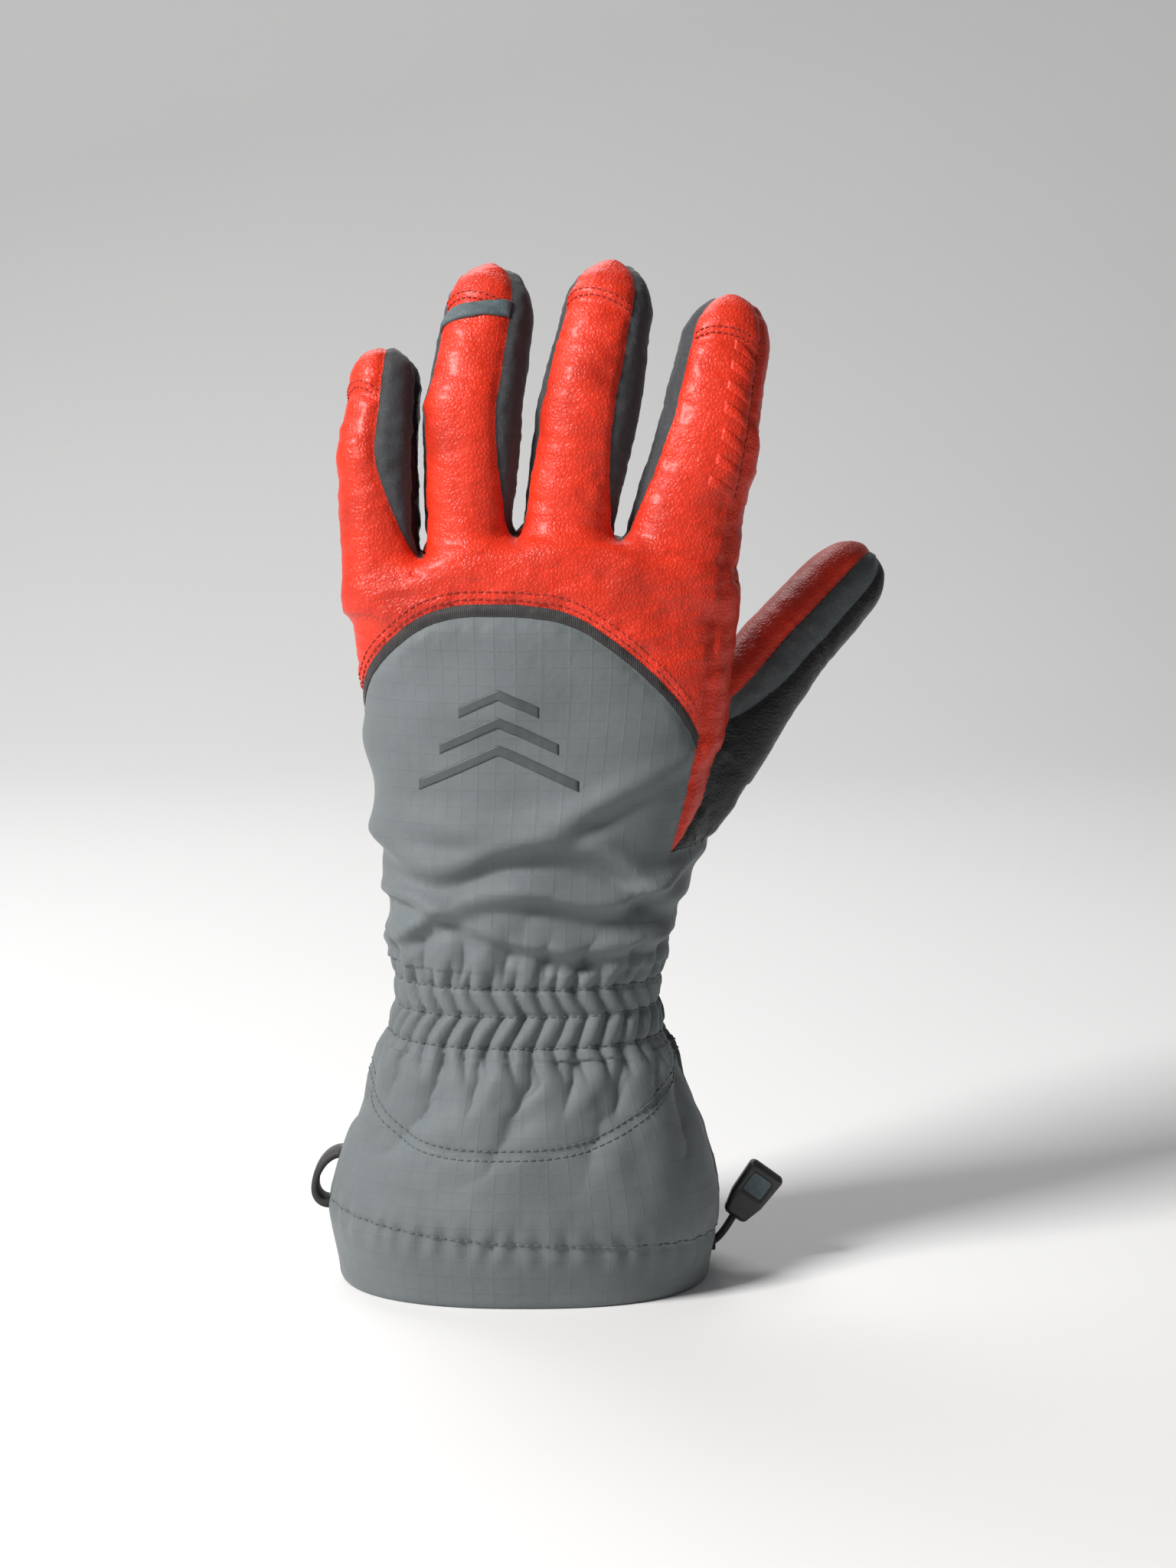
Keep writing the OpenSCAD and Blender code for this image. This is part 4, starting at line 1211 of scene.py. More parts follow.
def tape(name, base, rib=0.0006):
    f = Finish(name, base, 0.62, Specular_IOR_Level=0.4, Sheen_Weight=0.15, Sheen_Roughness=0.4)
    cloth = f.add("ShaderNodeAttribute", attribute_name="cloth").outputs["Vector"]
    parts = f.add("ShaderNodeSeparateXYZ", Vector=cloth)
    ribs = f.maths("SINE", f.maths("MULTIPLY", parts.outputs[0], 2 * math.pi / rib))
    f.tint(f.spread(ribs, -1, 1), scaled(base, 2.0), 0.35)
    f.tint(f.spread(f.noise(200, 3), 0.45, 0.7), scaled(base, 0.6), 0.6)
    f.raise_by(f.spread(ribs, -1, 1), 0.00014, 0.7)
    f.raise_by(f.noise(1500, 3), 0.0001, 0.5)
    return f.rough(f.noise(400, 2), 0.55, 0.72).material


def moulded(name, base, roughness):
    f = Finish(name, base, roughness, Specular_IOR_Level=0.5)
    f.tint(f.spread(f.noise(300, 4), 0.45, 0.75), scaled(base, 1.7), 0.4)
    f.raise_by(f.noise(2200, 3), 0.00006, 0.6)
    return f.rough(f.noise(350, 3), roughness - 0.07, roughness + 0.12).material


def make_finishes(look):
    return {
        "leather_red": leather("leather_red", look.leather_red, 0.42),
        "leather_black": leather("leather_black", look.leather_black, 0.45, 1.2, 0.5),
        "ripstop": woven("ripstop", look.ripstop, 0.62),
        "gauntlet": woven("gauntlet_cloth", look.ripstop, 0.62),
        "gauntlet_dark": woven("gauntlet_dark", look.gauntlet, 0.58),
        "softshell": knitted("softshell", look.softshell, 0.72),
        "thumb_grey": knitted("thumb_grey", look.thumb_grey, 0.7),
        "fleece": fleecy("fleece", look.fleece),
        "binding": tape("binding", look.binding),
        "webbing": tape("webbing", look.binding, 0.0011),
        "thread_red": tape("thread_red", scaled(look.leather_red, 0.55), 0.0004),
        "thread_dark": tape("thread_dark", scaled(look.binding, 1.3), 0.0004),
        "thread_grey": tape("thread_grey", scaled(look.ripstop, 0.85), 0.0004),
        "plastic": moulded("plastic", look.plastic, 0.38),
        "cord": tape("cord_sheath", scaled(look.binding, 0.7), 0.0007),
        "print": moulded("print", look.print_dark, 0.55),
        "band": knitted("band", (0.075, 0.1, 0.11), 0.6),
    }


def panel_facts(label):
    """Finish, material slot and kind of thickness of a panel."""
    red = label in ("knuckle_leather", "side_panel") or label.endswith(("_back", "_cap", "_edge"))
    if red and label != "gauntlet_back":
        return "leather_red", "leather_red", "leather"
    if label == "palm_leather" or label.endswith("_palm"):
        return "leather_black", "leather_black", "leather"
    if label == "back_binding":
        return "binding", "binding_black", "fabric"
    if label in ("gauntlet_front", "wrist_gathers_front"):
        return "gauntlet_dark", "gauntlet_black", "fabric"
    if label in ("hem_band", "gauntlet_back", "gauntlet_inset"):
        return "gauntlet", "ripstop_grey", "fabric"
    if label in ("back_panel", "wrist_gathers"):
        return "ripstop", "ripstop_grey", "fabric"
    if label.startswith("thumb"):
        return "thumb_grey", "softshell_grey", "fabric"
    return "softshell", "softshell_dark", "fabric"


# ---- making objects ----

SHOP = {}


def link(obj):
    bpy.context.scene.collection.objects.link(obj)
    return obj


def object_of(name, points, faces, material, smooth=True):
    """An object from millimetre points."""
    mesh = mesh_of(np.asarray(points) * MM, faces, name)
    mesh.materials.append(SHOP["finish"][material])
    mesh.polygons.foreach_set("use_smooth", [smooth] * len(mesh.polygons))
    return link(bpy.data.objects.new(name, mesh))


def store_cloth(obj, values):
    """Keeps where each point lies on its flat cloth, for the weave."""
    attribute = obj.data.attributes.new("cloth", "FLOAT_VECTOR", "POINT")
    attribute.data.foreach_set("vector", np.asarray(values, np.float32).ravel())


def cloth_place(points, label):
    """Distance round and along the cloth, in metres, for its weave."""
    out = np.zeros((len(points), 3))
    digit = DIGITS.get(label.split("_")[0])
    angle, along, far = (digit.where if digit else body_where)(points)
    out[:, 0], out[:, 1] = turned(angle, 90) * (0.00025 if digit else 0.00092), along * MM
    if label == "back_binding":
        out[:, 0] = points[:, 0] * MM
    return out


def sewn_piece(label, name=None):
    """A panel of the skin as a closed shell with its thickness turned inwards."""
    skin, pattern = SHOP["skin"], bpy.context.scene.glove_pattern
    chosen = np.flatnonzero(skin.labels == label)
    if not len(chosen):
        raise RuntimeError(f"no faces are left for {label}")
    finish, slot, cloth = panel_facts(label)
    thick = getattr(pattern, cloth) / MM
    if label.startswith(("wrist", "gauntlet")):
        thick *= 0.7
    faces = [skin.faces[k] for k in chosen]
    used = sorted({v for f in faces for v in f})
    local = {v: k for k, v in enumerate(used)}
    n = len(used)
    proud = 0.0 if label != "back_binding" else 0.45
    outer = skin.placed[used] + skin.normals[used] * proud
    inner = skin.placed[used] - skin.normals[used] * thick
    edges = {}
    made = []
    for face in faces:
        ring = [local[v] for v in face]
        made.append(ring)
        made.append([k + n for k in reversed(ring)])
        for a, b in zip(ring, ring[1:] + ring[:1]):
            edges[(a, b)] = True
    for a, b in edges:
        if (b, a) not in edges:
            made.append([b, a, a + n, b + n])
    obj = object_of(name or label, np.concatenate([outer, inner]), made, finish)
    place = cloth_place(skin.rest[used], label)
    store_cloth(obj, np.concatenate([place, place]))
    normals = np.concatenate([skin.normals[used], -skin.normals[used]])
    obj.data.normals_split_custom_set_from_vertices([tuple(v) for v in normals])
    return obj


def strip_on_skin(name, rows, lift, thick, material, crown=0.0):
    """A thin closed strip laid on the skin; rows is a grid of rest points."""
    skin = SHOP["skin"]
    height, width = len(rows), len(rows[0])
    spots, normals = skin.on(np.concatenate(rows))
    swell = np.outer(np.sin(np.linspace(0.25, math.pi - 0.25, height)),
                     np.sin(np.linspace(0, math.pi, width)))
    outer = spots + normals * (lift + crown * swell.reshape(-1, 1))
    inner = spots + normals * (lift - thick)
    n = len(spots)
    faces = []
    for r in range(height - 1):
        for c in range(width - 1):
            a = r * width + c
            quad = [a, a + 1, a + width + 1, a + width]
            faces += [quad, [k + n for k in reversed(quad)]]
    rim = ([(0, c) for c in range(width)] + [(r, width - 1) for r in range(1, height)]
           + [(height - 1, c) for c in range(width - 2, -1, -1)] + [(r, 0) for r in range(height - 2, 0, -1)])
    ids = [r * width + c for r, c in rim]
    for a, b in zip(ids, ids[1:] + ids[:1]):
        faces.append([b, a, a + n, b + n])
    obj = object_of(name, np.concatenate([outer, inner]), faces, material)
    outward(obj)
    place = np.stack([np.tile(np.arange(width), height), np.repeat(np.arange(height), width),
                      np.zeros(n)], 1) * 0.0005
    store_cloth(obj, np.concatenate([place, place]))
    return obj


def outward(obj):
    """Turns every face outwards."""
    bm = bmesh.new()
    bm.from_mesh(obj.data)
    bmesh.ops.recalc_face_normals(bm, faces=bm.faces)
    bm.to_mesh(obj.data)
    bm.free()


def tube(points, radius, sides):
    """Points and faces of a tube with flat ends; radius may be a list."""
    radii = np.zeros(len(points)) + radius
    tangents = np.vstack([points[1:], points[-1:]]) - np.vstack([points[:1], points[:-1]])
    tangents /= np.maximum(np.linalg.norm(tangents, axis=1, keepdims=True), 1e-9)
    side = np.cross(tangents[0], [0.3, 0.9, 0.2])
    rings = []
    for place, tangent, r in zip(points, tangents, radii):
        side = side - tangent * (side @ tangent)
        side /= np.linalg.norm(side)
        other = np.cross(tangent, side)
        rings.append([place + r * (math.cos(t) * side + math.sin(t) * other)
                      for t in np.arange(sides) * 2 * math.pi / sides])
    return np.concatenate(rings), tube_faces(len(rings), sides, caps=False) + end_faces(len(rings), sides)


def stitches(name, lines, material, step=None):
    """Rows of thread on the skin: each line is a list of rest points."""
    skin, pattern = SHOP["skin"], bpy.context.scene.glove_pattern
    step = step or pattern.stitch / MM
    r = pattern.thread / MM / 2
    points, faces, count = [], [], 0
    for line in lines:
        line = np.asarray(line, float)
        run = np.concatenate([[0], np.cumsum(np.linalg.norm(np.diff(line, axis=0), axis=1))])
        for k in range(int(run[-1] / step)):
            marks = (k + np.array([0.1, 0.22, 0.5, 0.78, 0.9])) * step
            rest = np.stack([np.interp(marks, run, line[:, axis]) for axis in range(3)], 1)
            spots, normals = skin.on(rest)
            dip = np.array([-0.7, 0.5, 0.9, 0.5, -0.7])[:, None] * r
            grid, made = tube(spots + normals * dip, [r * 0.6, r, r, r, r * 0.6], 6)
            points.append(grid)
            faces += [tuple(i + count for i in f) for f in made]
            count += len(grid)
    obj = object_of(name, np.concatenate(points), faces, material)
    outward(obj)
    place = coords_of(obj.data)
    store_cloth(obj, np.stack([place.sum(1), place[:, 2], place[:, 0]], 1))
    return obj


def strips_on_skin(name, grids, lift, thick, material, crown=0.0):
    """Several strips as one object."""
    made = [strip_on_skin(f"{name}_{k}", grid, lift, thick, material, crown)
            for k, grid in enumerate(grids)]
    bm = bmesh.new()
    for obj in made:
        bm.from_mesh(obj.data)
        bpy.data.objects.remove(obj)
    mesh = bpy.data.meshes.new(name)
    bm.to_mesh(mesh)
    bm.free()
    mesh.materials.append(SHOP["finish"][material])
    mesh.polygons.foreach_set("use_smooth", [True] * len(mesh.polygons))
    obj = link(bpy.data.objects.new(name, mesh))
    return obj


def back_point(x, z):
    """A rest point on the back of the hand or cuff, seen from the front."""
    x, z = np.broadcast_arrays(np.asarray(x, float), np.asarray(z, float))
    cx, hw, hd = station(z)
    share_across = np.clip(np.abs((x - cx) / hw), 0, 0.999)
    return np.stack([x, -hd * (1 - share_across**NORM) ** (1 / NORM), z], 1)


def hem_line(angle):
    """Height of the hem's seam, lower towards the thumb."""
    return HEM_TOP - 4.5 * np.cos(np.radians(angle))


def over_knuckle(obj, name):
    """Bakes into its mesh the placement of the piece that runs from the hand into the digit's first half."""
    digit = DIGITS[name]
    lo, hi = (THUMB_HINGE, THUMB_KNUCKLE_END) if digit.thumb else (-1, KNUCKLE_END - 1)
    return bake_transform(obj, "hand", name + "_base", start=digit.at(lo), end=digit.at(hi))


def over_joint(obj, name):
    """Bakes into its mesh the placement of the piece over the digit's middle joint."""
    digit = DIGITS[name]
    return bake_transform(obj, name + "_base", name + "_tip", start=digit.at(digit.joint - 12),
                    end=digit.at(digit.joint + 12))


def over_wrist(obj):
    """Bakes into its mesh the placement of the piece over the wrist."""
    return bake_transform(obj)


class GLOVE_OT_skin(bpy.types.Operator):
    """Lays out the glove's skin, cuts it along its seams and works out its folds"""
    bl_idname = "glove.skin"
    bl_label = "Skin"

    def execute(self, context):
        pattern = context.scene.glove_pattern
        step = pattern.mesh_step / MM
        SHOP["finish"] = make_finishes(context.scene.glove_finish)
        cutter = Cutter(relaxed_skin(step), step)
        cutter.refine(lambda p: (p[:, 2] > 58) & (p[:, 2] < 112) & (body_distance(p) < 2))
        cut_seams(cutter)
        skin = Skin(cutter.bm)
        cutter.bm.free()
        skin.settled = settle(skin, pattern)
        skin.sew(pattern)
        SHOP["skin"] = skin
        return {"FINISHED"}


class GLOVE_OT_cuff(bpy.types.Operator):
    """Makes the gauntlet's panels and its folded hem"""
    bl_idname = "glove.cuff"
    bl_label = "Gauntlet"

    def execute(self, context):
        for label in ("hem_band", "gauntlet_back", "gauntlet_front", "gauntlet_inset"):
            obj = sewn_piece(label, "sewn_" + label)
            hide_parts(label)
            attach(obj, "cuff")
        # Distance inwards and height, round the folded hem's section
        profile = [(1.1, 0.9), (1.5, 0.25), (2.6, 0.0), (4.6, 0.0), (6.1, 0.5), (6.9, 1.8), (7.2, 4),
                   (7.3, 10), (7.3, 16.5), (6.9, 17.4), (6.4, 16.5), (6.3, 10), (6.2, 4), (5.8, 2.4),
                   (4.6, 1.5), (1.8, 1.5)]
        cols = 180
        points = []
        for k in range(cols):
            angle = 360 * k / cols
            for inset, z in profile:
                wave = 0.3 * math.sin(math.radians(angle * 31)) * smooth_step(z, 5, 16)
                points.append(body_point([angle], z, inset + wave)[0])
        m = len(profile)
        faces = [(c * m + k, (c + 1) % cols * m + k, (c + 1) % cols * m + (k + 1) % m, c * m + (k + 1) % m)
                 for c in range(cols) for k in range(m)]
        fold = object_of("hem_fold", points, faces, "gauntlet")
        outward(fold)
        rest = np.array(points)
        store_cloth(fold, cloth_place(rest, "hem"))
        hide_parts("hem_cord")
        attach(fold, "cuff")
        return {"FINISHED"}


class GLOVE_OT_wrist(bpy.types.Operator):
    """Makes the gathered wrist over its elastic rows"""
    bl_idname = "glove.wrist"
    bl_label = "Gathered wrist"

    def execute(self, context):
        back = sewn_piece("wrist_gathers")
        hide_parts("wrist_gather", "wrist_elastic")
        over_wrist(back)
        over_wrist(sewn_piece("wrist_gathers_front"))
        rows = [body_point(np.linspace(-8, 210, 160), z) for z in ELASTIC_ROWS]
        over_wrist(stitches("elastic_stitches", rows, "thread_grey", 2.1))
        return {"FINISHED"}


class GLOVE_OT_hand(bpy.types.Operator):
    """Makes the panels of the hand, from the woven back to the leather palm"""
    bl_idname = "glove.hand"
    bl_label = "Hand"

    def execute(self, context):
        for label in ("back_panel", "back_binding", "knuckle_leather", "side_panel", "palm_leather",
                      "web_gussets"):
            obj = sewn_piece(label, "sewn_" + label)
            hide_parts(label)
            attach(obj, "hand")
        return {"FINISHED"}


class GLOVE_OT_fingers(bpy.types.Operator):
    """Makes the four fingers, each in a piece over its knuckle and one over its middle joint"""
    bl_idname = "glove.fingers"
    bl_label = "Fingers"

    def execute(self, context):
        for name in FINGERS:
            for kind in ("back", "sides", "palm"):
                low = sewn_piece(f"{name}_root_{kind}")
                high = sewn_piece(f"{name}_finger_{kind}")
                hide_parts(f"{name}_base_{kind}")
                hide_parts(f"{name}_tip_{kind}")
                if kind == "back":
                    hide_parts(f"{name}_base_lining")
                over_knuckle(low, name)
                over_joint(high, name)
            if name == "index":
                over_knuckle(sewn_piece("index_root_edge"), name)
                over_joint(sewn_piece("index_finger_edge"), name)
            cap = sewn_piece(f"{name}_cap")
            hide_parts(f"{name}_tip_cap")
            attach(cap, f"{name}_tip")
        return {"FINISHED"}


class GLOVE_OT_thumb(bpy.types.Operator):
    """Makes the thumb, with its red back, grey strips and black palm"""
    bl_idname = "glove.thumb"
    bl_label = "Thumb"

    def execute(self, context):
        for kind, node in (("back", "back"), ("sides", "strip"), ("palm", "palm")):
            low = sewn_piece(f"thumb_root_{kind}")
            high = sewn_piece(f"thumb_finger_{kind}")
            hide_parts(f"thumb_base_{node}")
            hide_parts(f"thumb_tip_{node}")
            over_knuckle(low, "thumb")
            over_joint(high, "thumb")
        return {"FINISHED"}


def lining_tube(name, heights, inset, closed_top=False):
    """A tube of fleece inside the shell, with its own thickness."""
    pattern = bpy.context.scene.glove_pattern
    cols = 96
    angles = np.arange(cols) * 360 / cols
    rings = []
    for z in heights:
        top = np.minimum(z, roots_z(body_point(angles, ROOT_Z)[:, 0]) - 9)
        ring = body_point(angles, top, inset)
        ring[:, :2] += (lumps(ring, 9, 61) * 0.6)[:, None] * np.stack([np.cos(np.radians(angles)),
                                                                       np.sin(np.radians(angles))], 1)
        rings.append(ring)
    outer = np.concatenate(rings)
    rows = len(rings)
    thick = pattern.lining / MM
    inner = []
    for ring in rings:
        inward = ring.mean(0) - ring
        inward[:, 2] = 0
        inner.append(ring + inward / np.linalg.norm(inward, axis=1, keepdims=True) * thick)
    if closed_top:
        inner[-1][:, 2] -= thick
    inner = np.concatenate(inner)
    n = len(outer)
    faces = tube_faces(rows, cols, caps=False)
    faces += [tuple(k + n for k in reversed(f)) for f in faces]
    faces += [((c + 1) % cols, c, c + n, (c + 1) % cols + n) for c in range(cols)]
    last = (rows - 1) * cols
    if closed_top:
        lid = [f for f in tube_faces(2, cols) if all(k >= cols for k in f)]
        faces += [tuple(last + k - cols for k in f) for f in lid]
        faces += [tuple(last + k - cols + n for k in reversed(f)) for f in lid]
    else:
        faces += [(last + c, last + (c + 1) % cols, last + (c + 1) % cols + n, last + c + n)
                  for c in range(cols)]
    obj = object_of(name, np.concatenate([outer, inner]), faces, "fleece")
    outward(obj)
    return obj


class GLOVE_OT_lining(bpy.types.Operator):
    """Makes the fleece lining, which shows through the hand opening"""
    bl_idname = "glove.lining"
    bl_label = "Lining"

    def execute(self, context):
        cuff = lining_tube("sewn_cuff_lining", np.linspace(6, CUFF_HI - 2, 14), 5.0)
        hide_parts("cuff_lining")
        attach(cuff, "cuff")
        over_wrist(lining_tube("wrist_lining", np.linspace(CUFF_HI - 2.2, HAND_LO + 2.2, 8), 5.2))
        hand = lining_tube("sewn_hand_lining", np.linspace(HAND_LO + 2, ROOT_Z - 8, 20), 5.4, True)
        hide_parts("hand_lining", "hand_insulation")
        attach(hand, "hand")
        return {"FINISHED"}


class GLOVE_OT_stitching(bpy.types.Operator):
    """Sews the visible rows of stitches"""
    bl_idname = "glove.stitching"
    bl_label = "Stitching"

    def execute(self, context):
        angles = np.linspace(BACK_LO + 2, BACK_HI - 2, 240)
        rows = [body_point(angles, panel_z(angles) + off) for off in (1.7, 4.1)]
        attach(stitches("yoke_stitches", rows, "thread_red"), "hand")
        tape_w = context.scene.glove_pattern.binding / MM
        rows = [body_point(angles, panel_z(angles) - tape_w + 0.6)]
        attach(stitches("binding_stitches", rows, "thread_dark"), "hand")
        angles = np.linspace(-7, 209, 260)
        rows = [body_point(angles, inset_z(angles) + off) for off in (-1.5, 1.3)]
        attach(stitches("inset_stitches", rows, "thread_grey"), "cuff")
        angles = np.linspace(0, 360, 300)
        rows = [body_point(angles, hem_line(angles) + 1.2)]
        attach(stitches("hem_stitches", rows, "thread_grey", 2.6), "cuff")
        for name in FINGERS:
            digit = DIGITS[name]
            lo = INDEX_EDGE + 2 if name == "index" else digit.seams[0] + 2
            around = np.linspace(lo, digit.seams[1] - 2, 40)
            rows = [digit.point(around, cap_line(digit, around) + off) for off in (1.5, 3.3)]
            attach(stitches(f"{name}_cap_stitches", rows, "thread_red", 1.9), f"{name}_tip")
        index = DIGITS["index"]
        along = np.linspace(18, index.whole - 14, 60)
        rows = [index.point(INDEX_EDGE + 2.5 + 0 * along, along)]
        over_joint(stitches("index_edge_stitches", rows, "thread_red"), "index")
        along = np.linspace(40, THUMB.whole - 12, 60)
        rows = [THUMB.point(THUMB.seams[0] - 2.2 + 0 * along, along)]
        over_joint(stitches("thumb_stitches", rows, "thread_dark"), "thumb")
        return {"FINISHED"}


class GLOVE_OT_trims(bpy.types.Operator):
    """Makes the ring finger's band, the index finger's ribs, the printed chevrons and the hang loop"""
    bl_idname = "glove.trims"
    bl_label = "Trims"

    def execute(self, context):
        ring = DIGITS["ring"]
        around = np.linspace(ring.seams[0] + 1, ring.seams[1] - 1, 44)
        slant = (around - around.mean()) / (around[-1] - around[0])
        grid = [ring.point(around, ring.whole - 21 - 5.5 * slant + off) for off in np.linspace(-2.6, 2.6, 7)]
        band = strip_on_skin("sewn_ring_band", grid, 0.75, 0.9, "band", crown=0.25)
        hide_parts("ring_band")
        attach(band, "ring_tip")

        index = DIGITS["index"]
        grids = []
        for s in np.arange(20.5, 62, 6.5):
            around = np.linspace(50, 84, 12)
            lean = 3.0 * (around - 67) / 34
            grids.append([index.point(around, s + lean + off) for off in np.linspace(-1.5, 1.5, 8)])
        ribs = strips_on_skin("index_ribs", grids, 0.1, 0.7, "leather_red", crown=0.55)
        over_joint(ribs, "index")

        grids = []
        for reach, height in ((24, 157), (18, 168), (12, 179)):
            x = np.linspace(-reach, reach, 46)
            rise = 11 * (1 - np.abs(x) / reach) * reach / 24
            grids.append([back_point(x - 7, height + rise + off) for off in np.linspace(-1.6, 1.6, 6)])
        chevrons = strips_on_skin("chevron_print", grids, 0.16, 0.3, "print")
        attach(chevrons, "hand")

        t = np.linspace(0, math.pi, 22)
        z = HEM_TOP + 10 - 8 * np.cos(t)
        reach = 6.0 * np.sin(t) ** 0.8
        seat = body_point(np.full(len(t), 180.0), z)
        path = np.stack([seat[:, 0] - reach + 0.2, seat[:, 1], z], 1)
        half, thick = 5.0, 1.0
        across = [(-half, -thick), (0, -thick - 0.1), (half, -thick),
                  (half, thick), (0, thick + 0.1), (-half, thick)]
        ahead = np.gradient(path, axis=0)
        outwards = np.stack([-ahead[:, 2], 0 * t, ahead[:, 0]], 1)
        outwards /= np.linalg.norm(outwards, axis=1, keepdims=True)
        points = np.concatenate([[place + np.array([0, y, 0]) + out * d for y, d in across]
                                 for place, out in zip(path, outwards)])
        faces = tube_faces(len(t), 6, caps=False) + end_faces(len(t), 6)
        loop = object_of("sewn_hang_loop", points, faces, "webbing")
        outward(loop)
        store_cloth(loop, np.stack([points[:, 1] * MM, points[:, 2] * MM, 0 * points[:, 0]], 1))
        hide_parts("hang_loop")
        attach(loop, "cuff")
        return {"FINISHED"}


PULL_LEAN = math.radians(36)


class GLOVE_OT_drawcord(bpy.types.Operator):
    """Makes the drawcord's end and its moulded pull, and gives the eyelet its plastic finish"""
    bl_idname = "glove.drawcord"
    bl_label = "Drawcord"

    def execute(self, context):
        bend = np.array(JOINTS["cord_swing"]["pos_m"]) / MM
        neck = np.array(JOINTS["pull_swing"]["pos_m"]) / MM
        along = (neck - bend) / np.linalg.norm(neck - bend)
        start = bend - [2.6, 0, 0.2]
        t = np.linspace(0, 1, 15)[:, None]
        path = (1 - t) ** 2 * start + 2 * t * (1 - t) * (bend + along * 1.2) + t**2 * (neck + along * 2.2)
        grid, faces = tube(path, 1.2, 16)
        cord = object_of("drawcord_end", grid, faces, "cord")
        outward(cord)
        run = np.repeat(np.arange(15), 16) * 0.0009
        turn = np.tile(np.arange(16), 15) * 0.0005
        store_cloth(cord, np.stack([run + turn, run, 0 * run], 1))
        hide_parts("cord_tail")
        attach(cord, "cord")

        axis = np.array([math.sin(PULL_LEAN), 0, math.cos(PULL_LEAN)])
        side = np.array([math.cos(PULL_LEAN), 0, -math.sin(PULL_LEAN)])
        whole, corner = 19, 1.9
        rows, cols = 46, 64
        points = []
        for v in np.linspace(0, 1, rows):
            s = whole * (0.5 - 0.5 * math.cos(math.pi * v))
            wide = np.interp(s, [0, 2.5, 7, 19], [4.0, 4.35, 5.6, 6.2])
            for end in (s, whole - s):
                if end < corner:
                    wide -= corner - math.sqrt(max(0, corner**2 - (corner - end) ** 2))
            thick = 2.7 * min(1, (min(s, whole - s) / 1.3 + 0.02)) ** 0.45
            for turn in np.arange(cols) * 2 * math.pi / cols:
                u = wide * np.sign(math.cos(turn)) * abs(math.cos(turn)) ** 0.45
                w = thick * np.sign(math.sin(turn)) * abs(math.sin(turn)) ** 0.45
                pad = (smooth_step(s, 8.6, 9.4) * (1 - smooth_step(s, 15.8, 16.6))
                       * (1 - smooth_step(abs(u), 3.6, 4.4)))
                points.append(neck + axis * s + side * u + np.array([0, 1, 0]) * w * (1 - 0.16 * pad))
        faces = tube_faces(rows, cols)
        pull = object_of("moulded_pull", points, faces, "plastic")
        outward(pull)
        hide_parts("pull_tab")
        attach(pull, "pull")
        points, faces = [], []
        for face in (-1, 1):
            first = len(points)
            for deep in (2.0, 2.55):
                for u, s in ((-3.3, 10), (-2.9, 9.5), (2.9, 9.5), (3.3, 10), (3.3, 15.4), (2.9, 15.9),
                             (-2.9, 15.9), (-3.3, 15.4)):
                    points.append(neck + axis * s + side * u + np.array([0, face * deep, 0]))
            faces += [tuple(first + (k + d) % 8 + 8 * e for k, d, e in
                            ((c, 0, 0), (c, 1, 0), (c, 1, 1), (c, 0, 1))) for c in range(8)]
            faces += [tuple(range(first + 7, first - 1, -1)), tuple(range(first + 8, first + 16))]
        pads = object_of("pull_pads", points, faces, "band", smooth=False)
        outward(pads)
        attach(pads, "pull")
        eyelet = frame["nodes"]["cord_eyelet"]
        eyelet.data.materials.clear()
        eyelet.data.materials.append(SHOP["finish"]["plastic"])
        return {"FINISHED"}


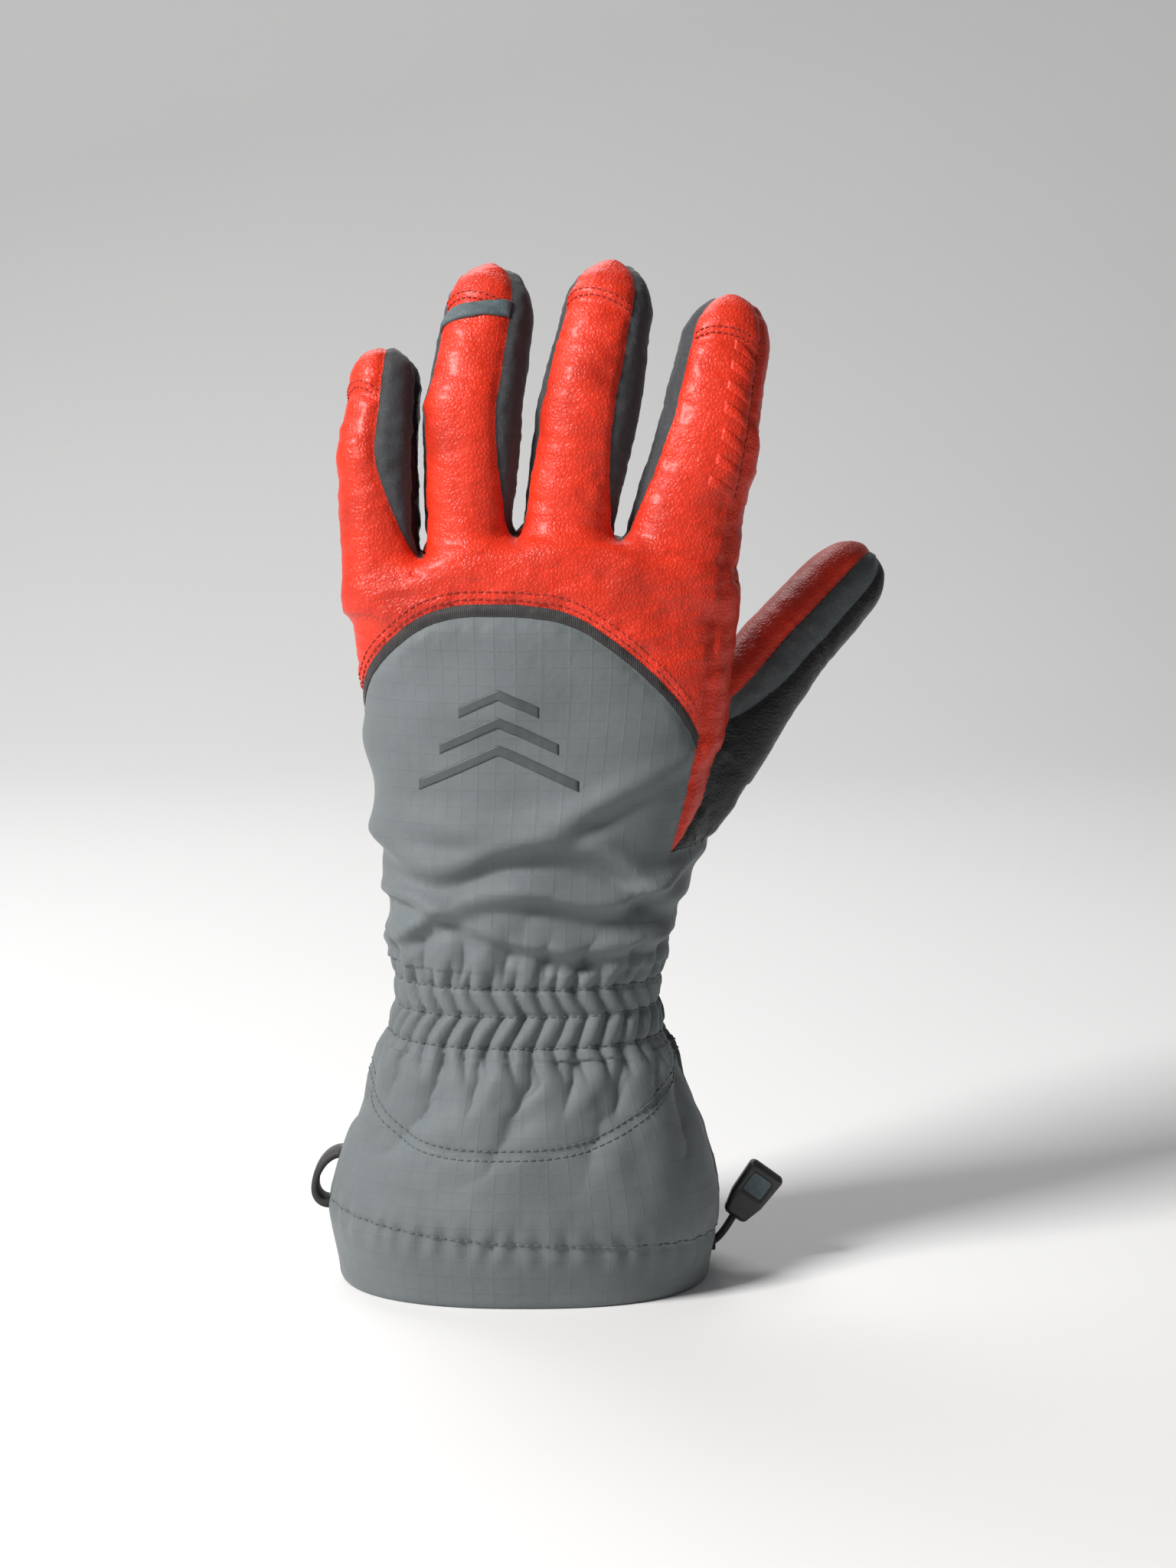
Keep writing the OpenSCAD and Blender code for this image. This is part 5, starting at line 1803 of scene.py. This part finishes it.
class GLOVE_OT_stage(bpy.types.Operator):
    """Sets the pale floor, the soft lights and the camera"""
    bl_idname = "glove.stage"
    bl_label = "Stage"

    def execute(self, context):
        scene = context.scene
        curve = 0.8
        profile = [(-3.0, 0.0), (1.0, 0.0)]
        profile += [(1.0 + curve * math.sin(t), curve - curve * math.cos(t))
                    for t in np.linspace(0.1, math.pi / 2, 14)]
        profile += [(1.0 + curve, 3.0)]
        points = [(x, y, z) for y, z in profile for x in (-4.0, 4.0)]
        faces = [(2 * k, 2 * k + 1, 2 * k + 3, 2 * k + 2) for k in range(len(profile) - 1)]
        mesh = bpy.data.meshes.new("floor")
        mesh.from_pydata(points, [], faces)
        paper = Finish("paper", (0.78, 0.78, 0.78), 0.85)
        paper.tint(paper.spread(paper.noise(3, 2), 0.3, 0.7), (0.75, 0.75, 0.75), 0.5)
        mesh.materials.append(paper.material)
        mesh.polygons.foreach_set("use_smooth", [True] * len(mesh.polygons))
        floor = link(bpy.data.objects.new("floor", mesh))
        for name, place, size, power, tone in (
                ("key", (-1.05, -0.72, 1.15), 0.45, 40, (1.0, 0.985, 0.97)),
                ("fill", (0.9, -1.2, 0.6), 1.0, 0.5, (0.96, 0.98, 1.0)),
                ("rim", (-0.3, 0.8, 1.1), 0.8, 7, (1.0, 1.0, 1.0))):
            lamp = bpy.data.lights.new(name, "AREA")
            lamp.size, lamp.energy, lamp.color = size, power, tone
            obj = link(bpy.data.objects.new(name, lamp))
            obj.location = place
            aim = Vector((0.01, 0, 0.15)) - Vector(place)
            obj.rotation_euler = aim.to_track_quat("-Z", "Y").to_euler()
        world = bpy.data.worlds.new("studio")
        world.use_nodes = True
        backdrop = world.node_tree.nodes["Background"]
        backdrop.inputs["Color"].default_value = (0.95, 0.96, 1.0, 1)
        backdrop.inputs["Strength"].default_value = 0.13
        scene.world = world
        rise, far, target = math.radians(9.2), 1.1, Vector((0.0197, 0, 0.1535))
        camera_data = bpy.data.cameras.new("camera")
        camera_data.lens = 82.5
        camera_data.sensor_width = 36
        camera_data.clip_end = 20
        camera = link(bpy.data.objects.new("camera", camera_data))
        camera.location = target + far * Vector((0, -math.cos(rise), math.sin(rise)))
        camera.rotation_euler = (target - camera.location).to_track_quat("-Z", "Y").to_euler()
        scene.camera = camera
        scene.view_settings.view_transform = "Standard"
        return {"FINISHED"}


OPERATORS = (GLOVE_OT_skin, GLOVE_OT_cuff, GLOVE_OT_wrist, GLOVE_OT_hand, GLOVE_OT_fingers, GLOVE_OT_thumb,
             GLOVE_OT_lining, GLOVE_OT_stitching, GLOVE_OT_trims, GLOVE_OT_drawcord, GLOVE_OT_stage)


class GLOVE_PT_panel(bpy.types.Panel):
    """Lists the glove's sizes, colours and pieces"""
    bl_idname = "GLOVE_PT_panel"
    bl_label = "Ski Glove"
    bl_space_type = "VIEW_3D"
    bl_region_type = "UI"
    bl_category = "Glove"

    def draw(self, context):
        for group in (context.scene.glove_pattern, context.scene.glove_finish):
            box = self.layout.box()
            for key in group.__annotations__:
                box.prop(group, key)
        for operator in OPERATORS:
            self.layout.operator(operator.bl_idname)


CLASSES = (GLOVE_PG_pattern, GLOVE_PG_finish) + OPERATORS + (GLOVE_PT_panel,)


def register():
    for cls in CLASSES:
        bpy.utils.register_class(cls)
    bpy.types.Scene.glove_pattern = bpy.props.PointerProperty(type=GLOVE_PG_pattern)
    bpy.types.Scene.glove_finish = bpy.props.PointerProperty(type=GLOVE_PG_finish)


def unregister():
    del bpy.types.Scene.glove_finish
    del bpy.types.Scene.glove_pattern
    for cls in reversed(CLASSES):
        bpy.utils.unregister_class(cls)


def main():
    register()
    for operator in OPERATORS:
        getattr(bpy.ops.glove, operator.bl_idname.split(".")[1])()
    bpy.context.view_layer.update()


if __name__ == "__main__":
    main()
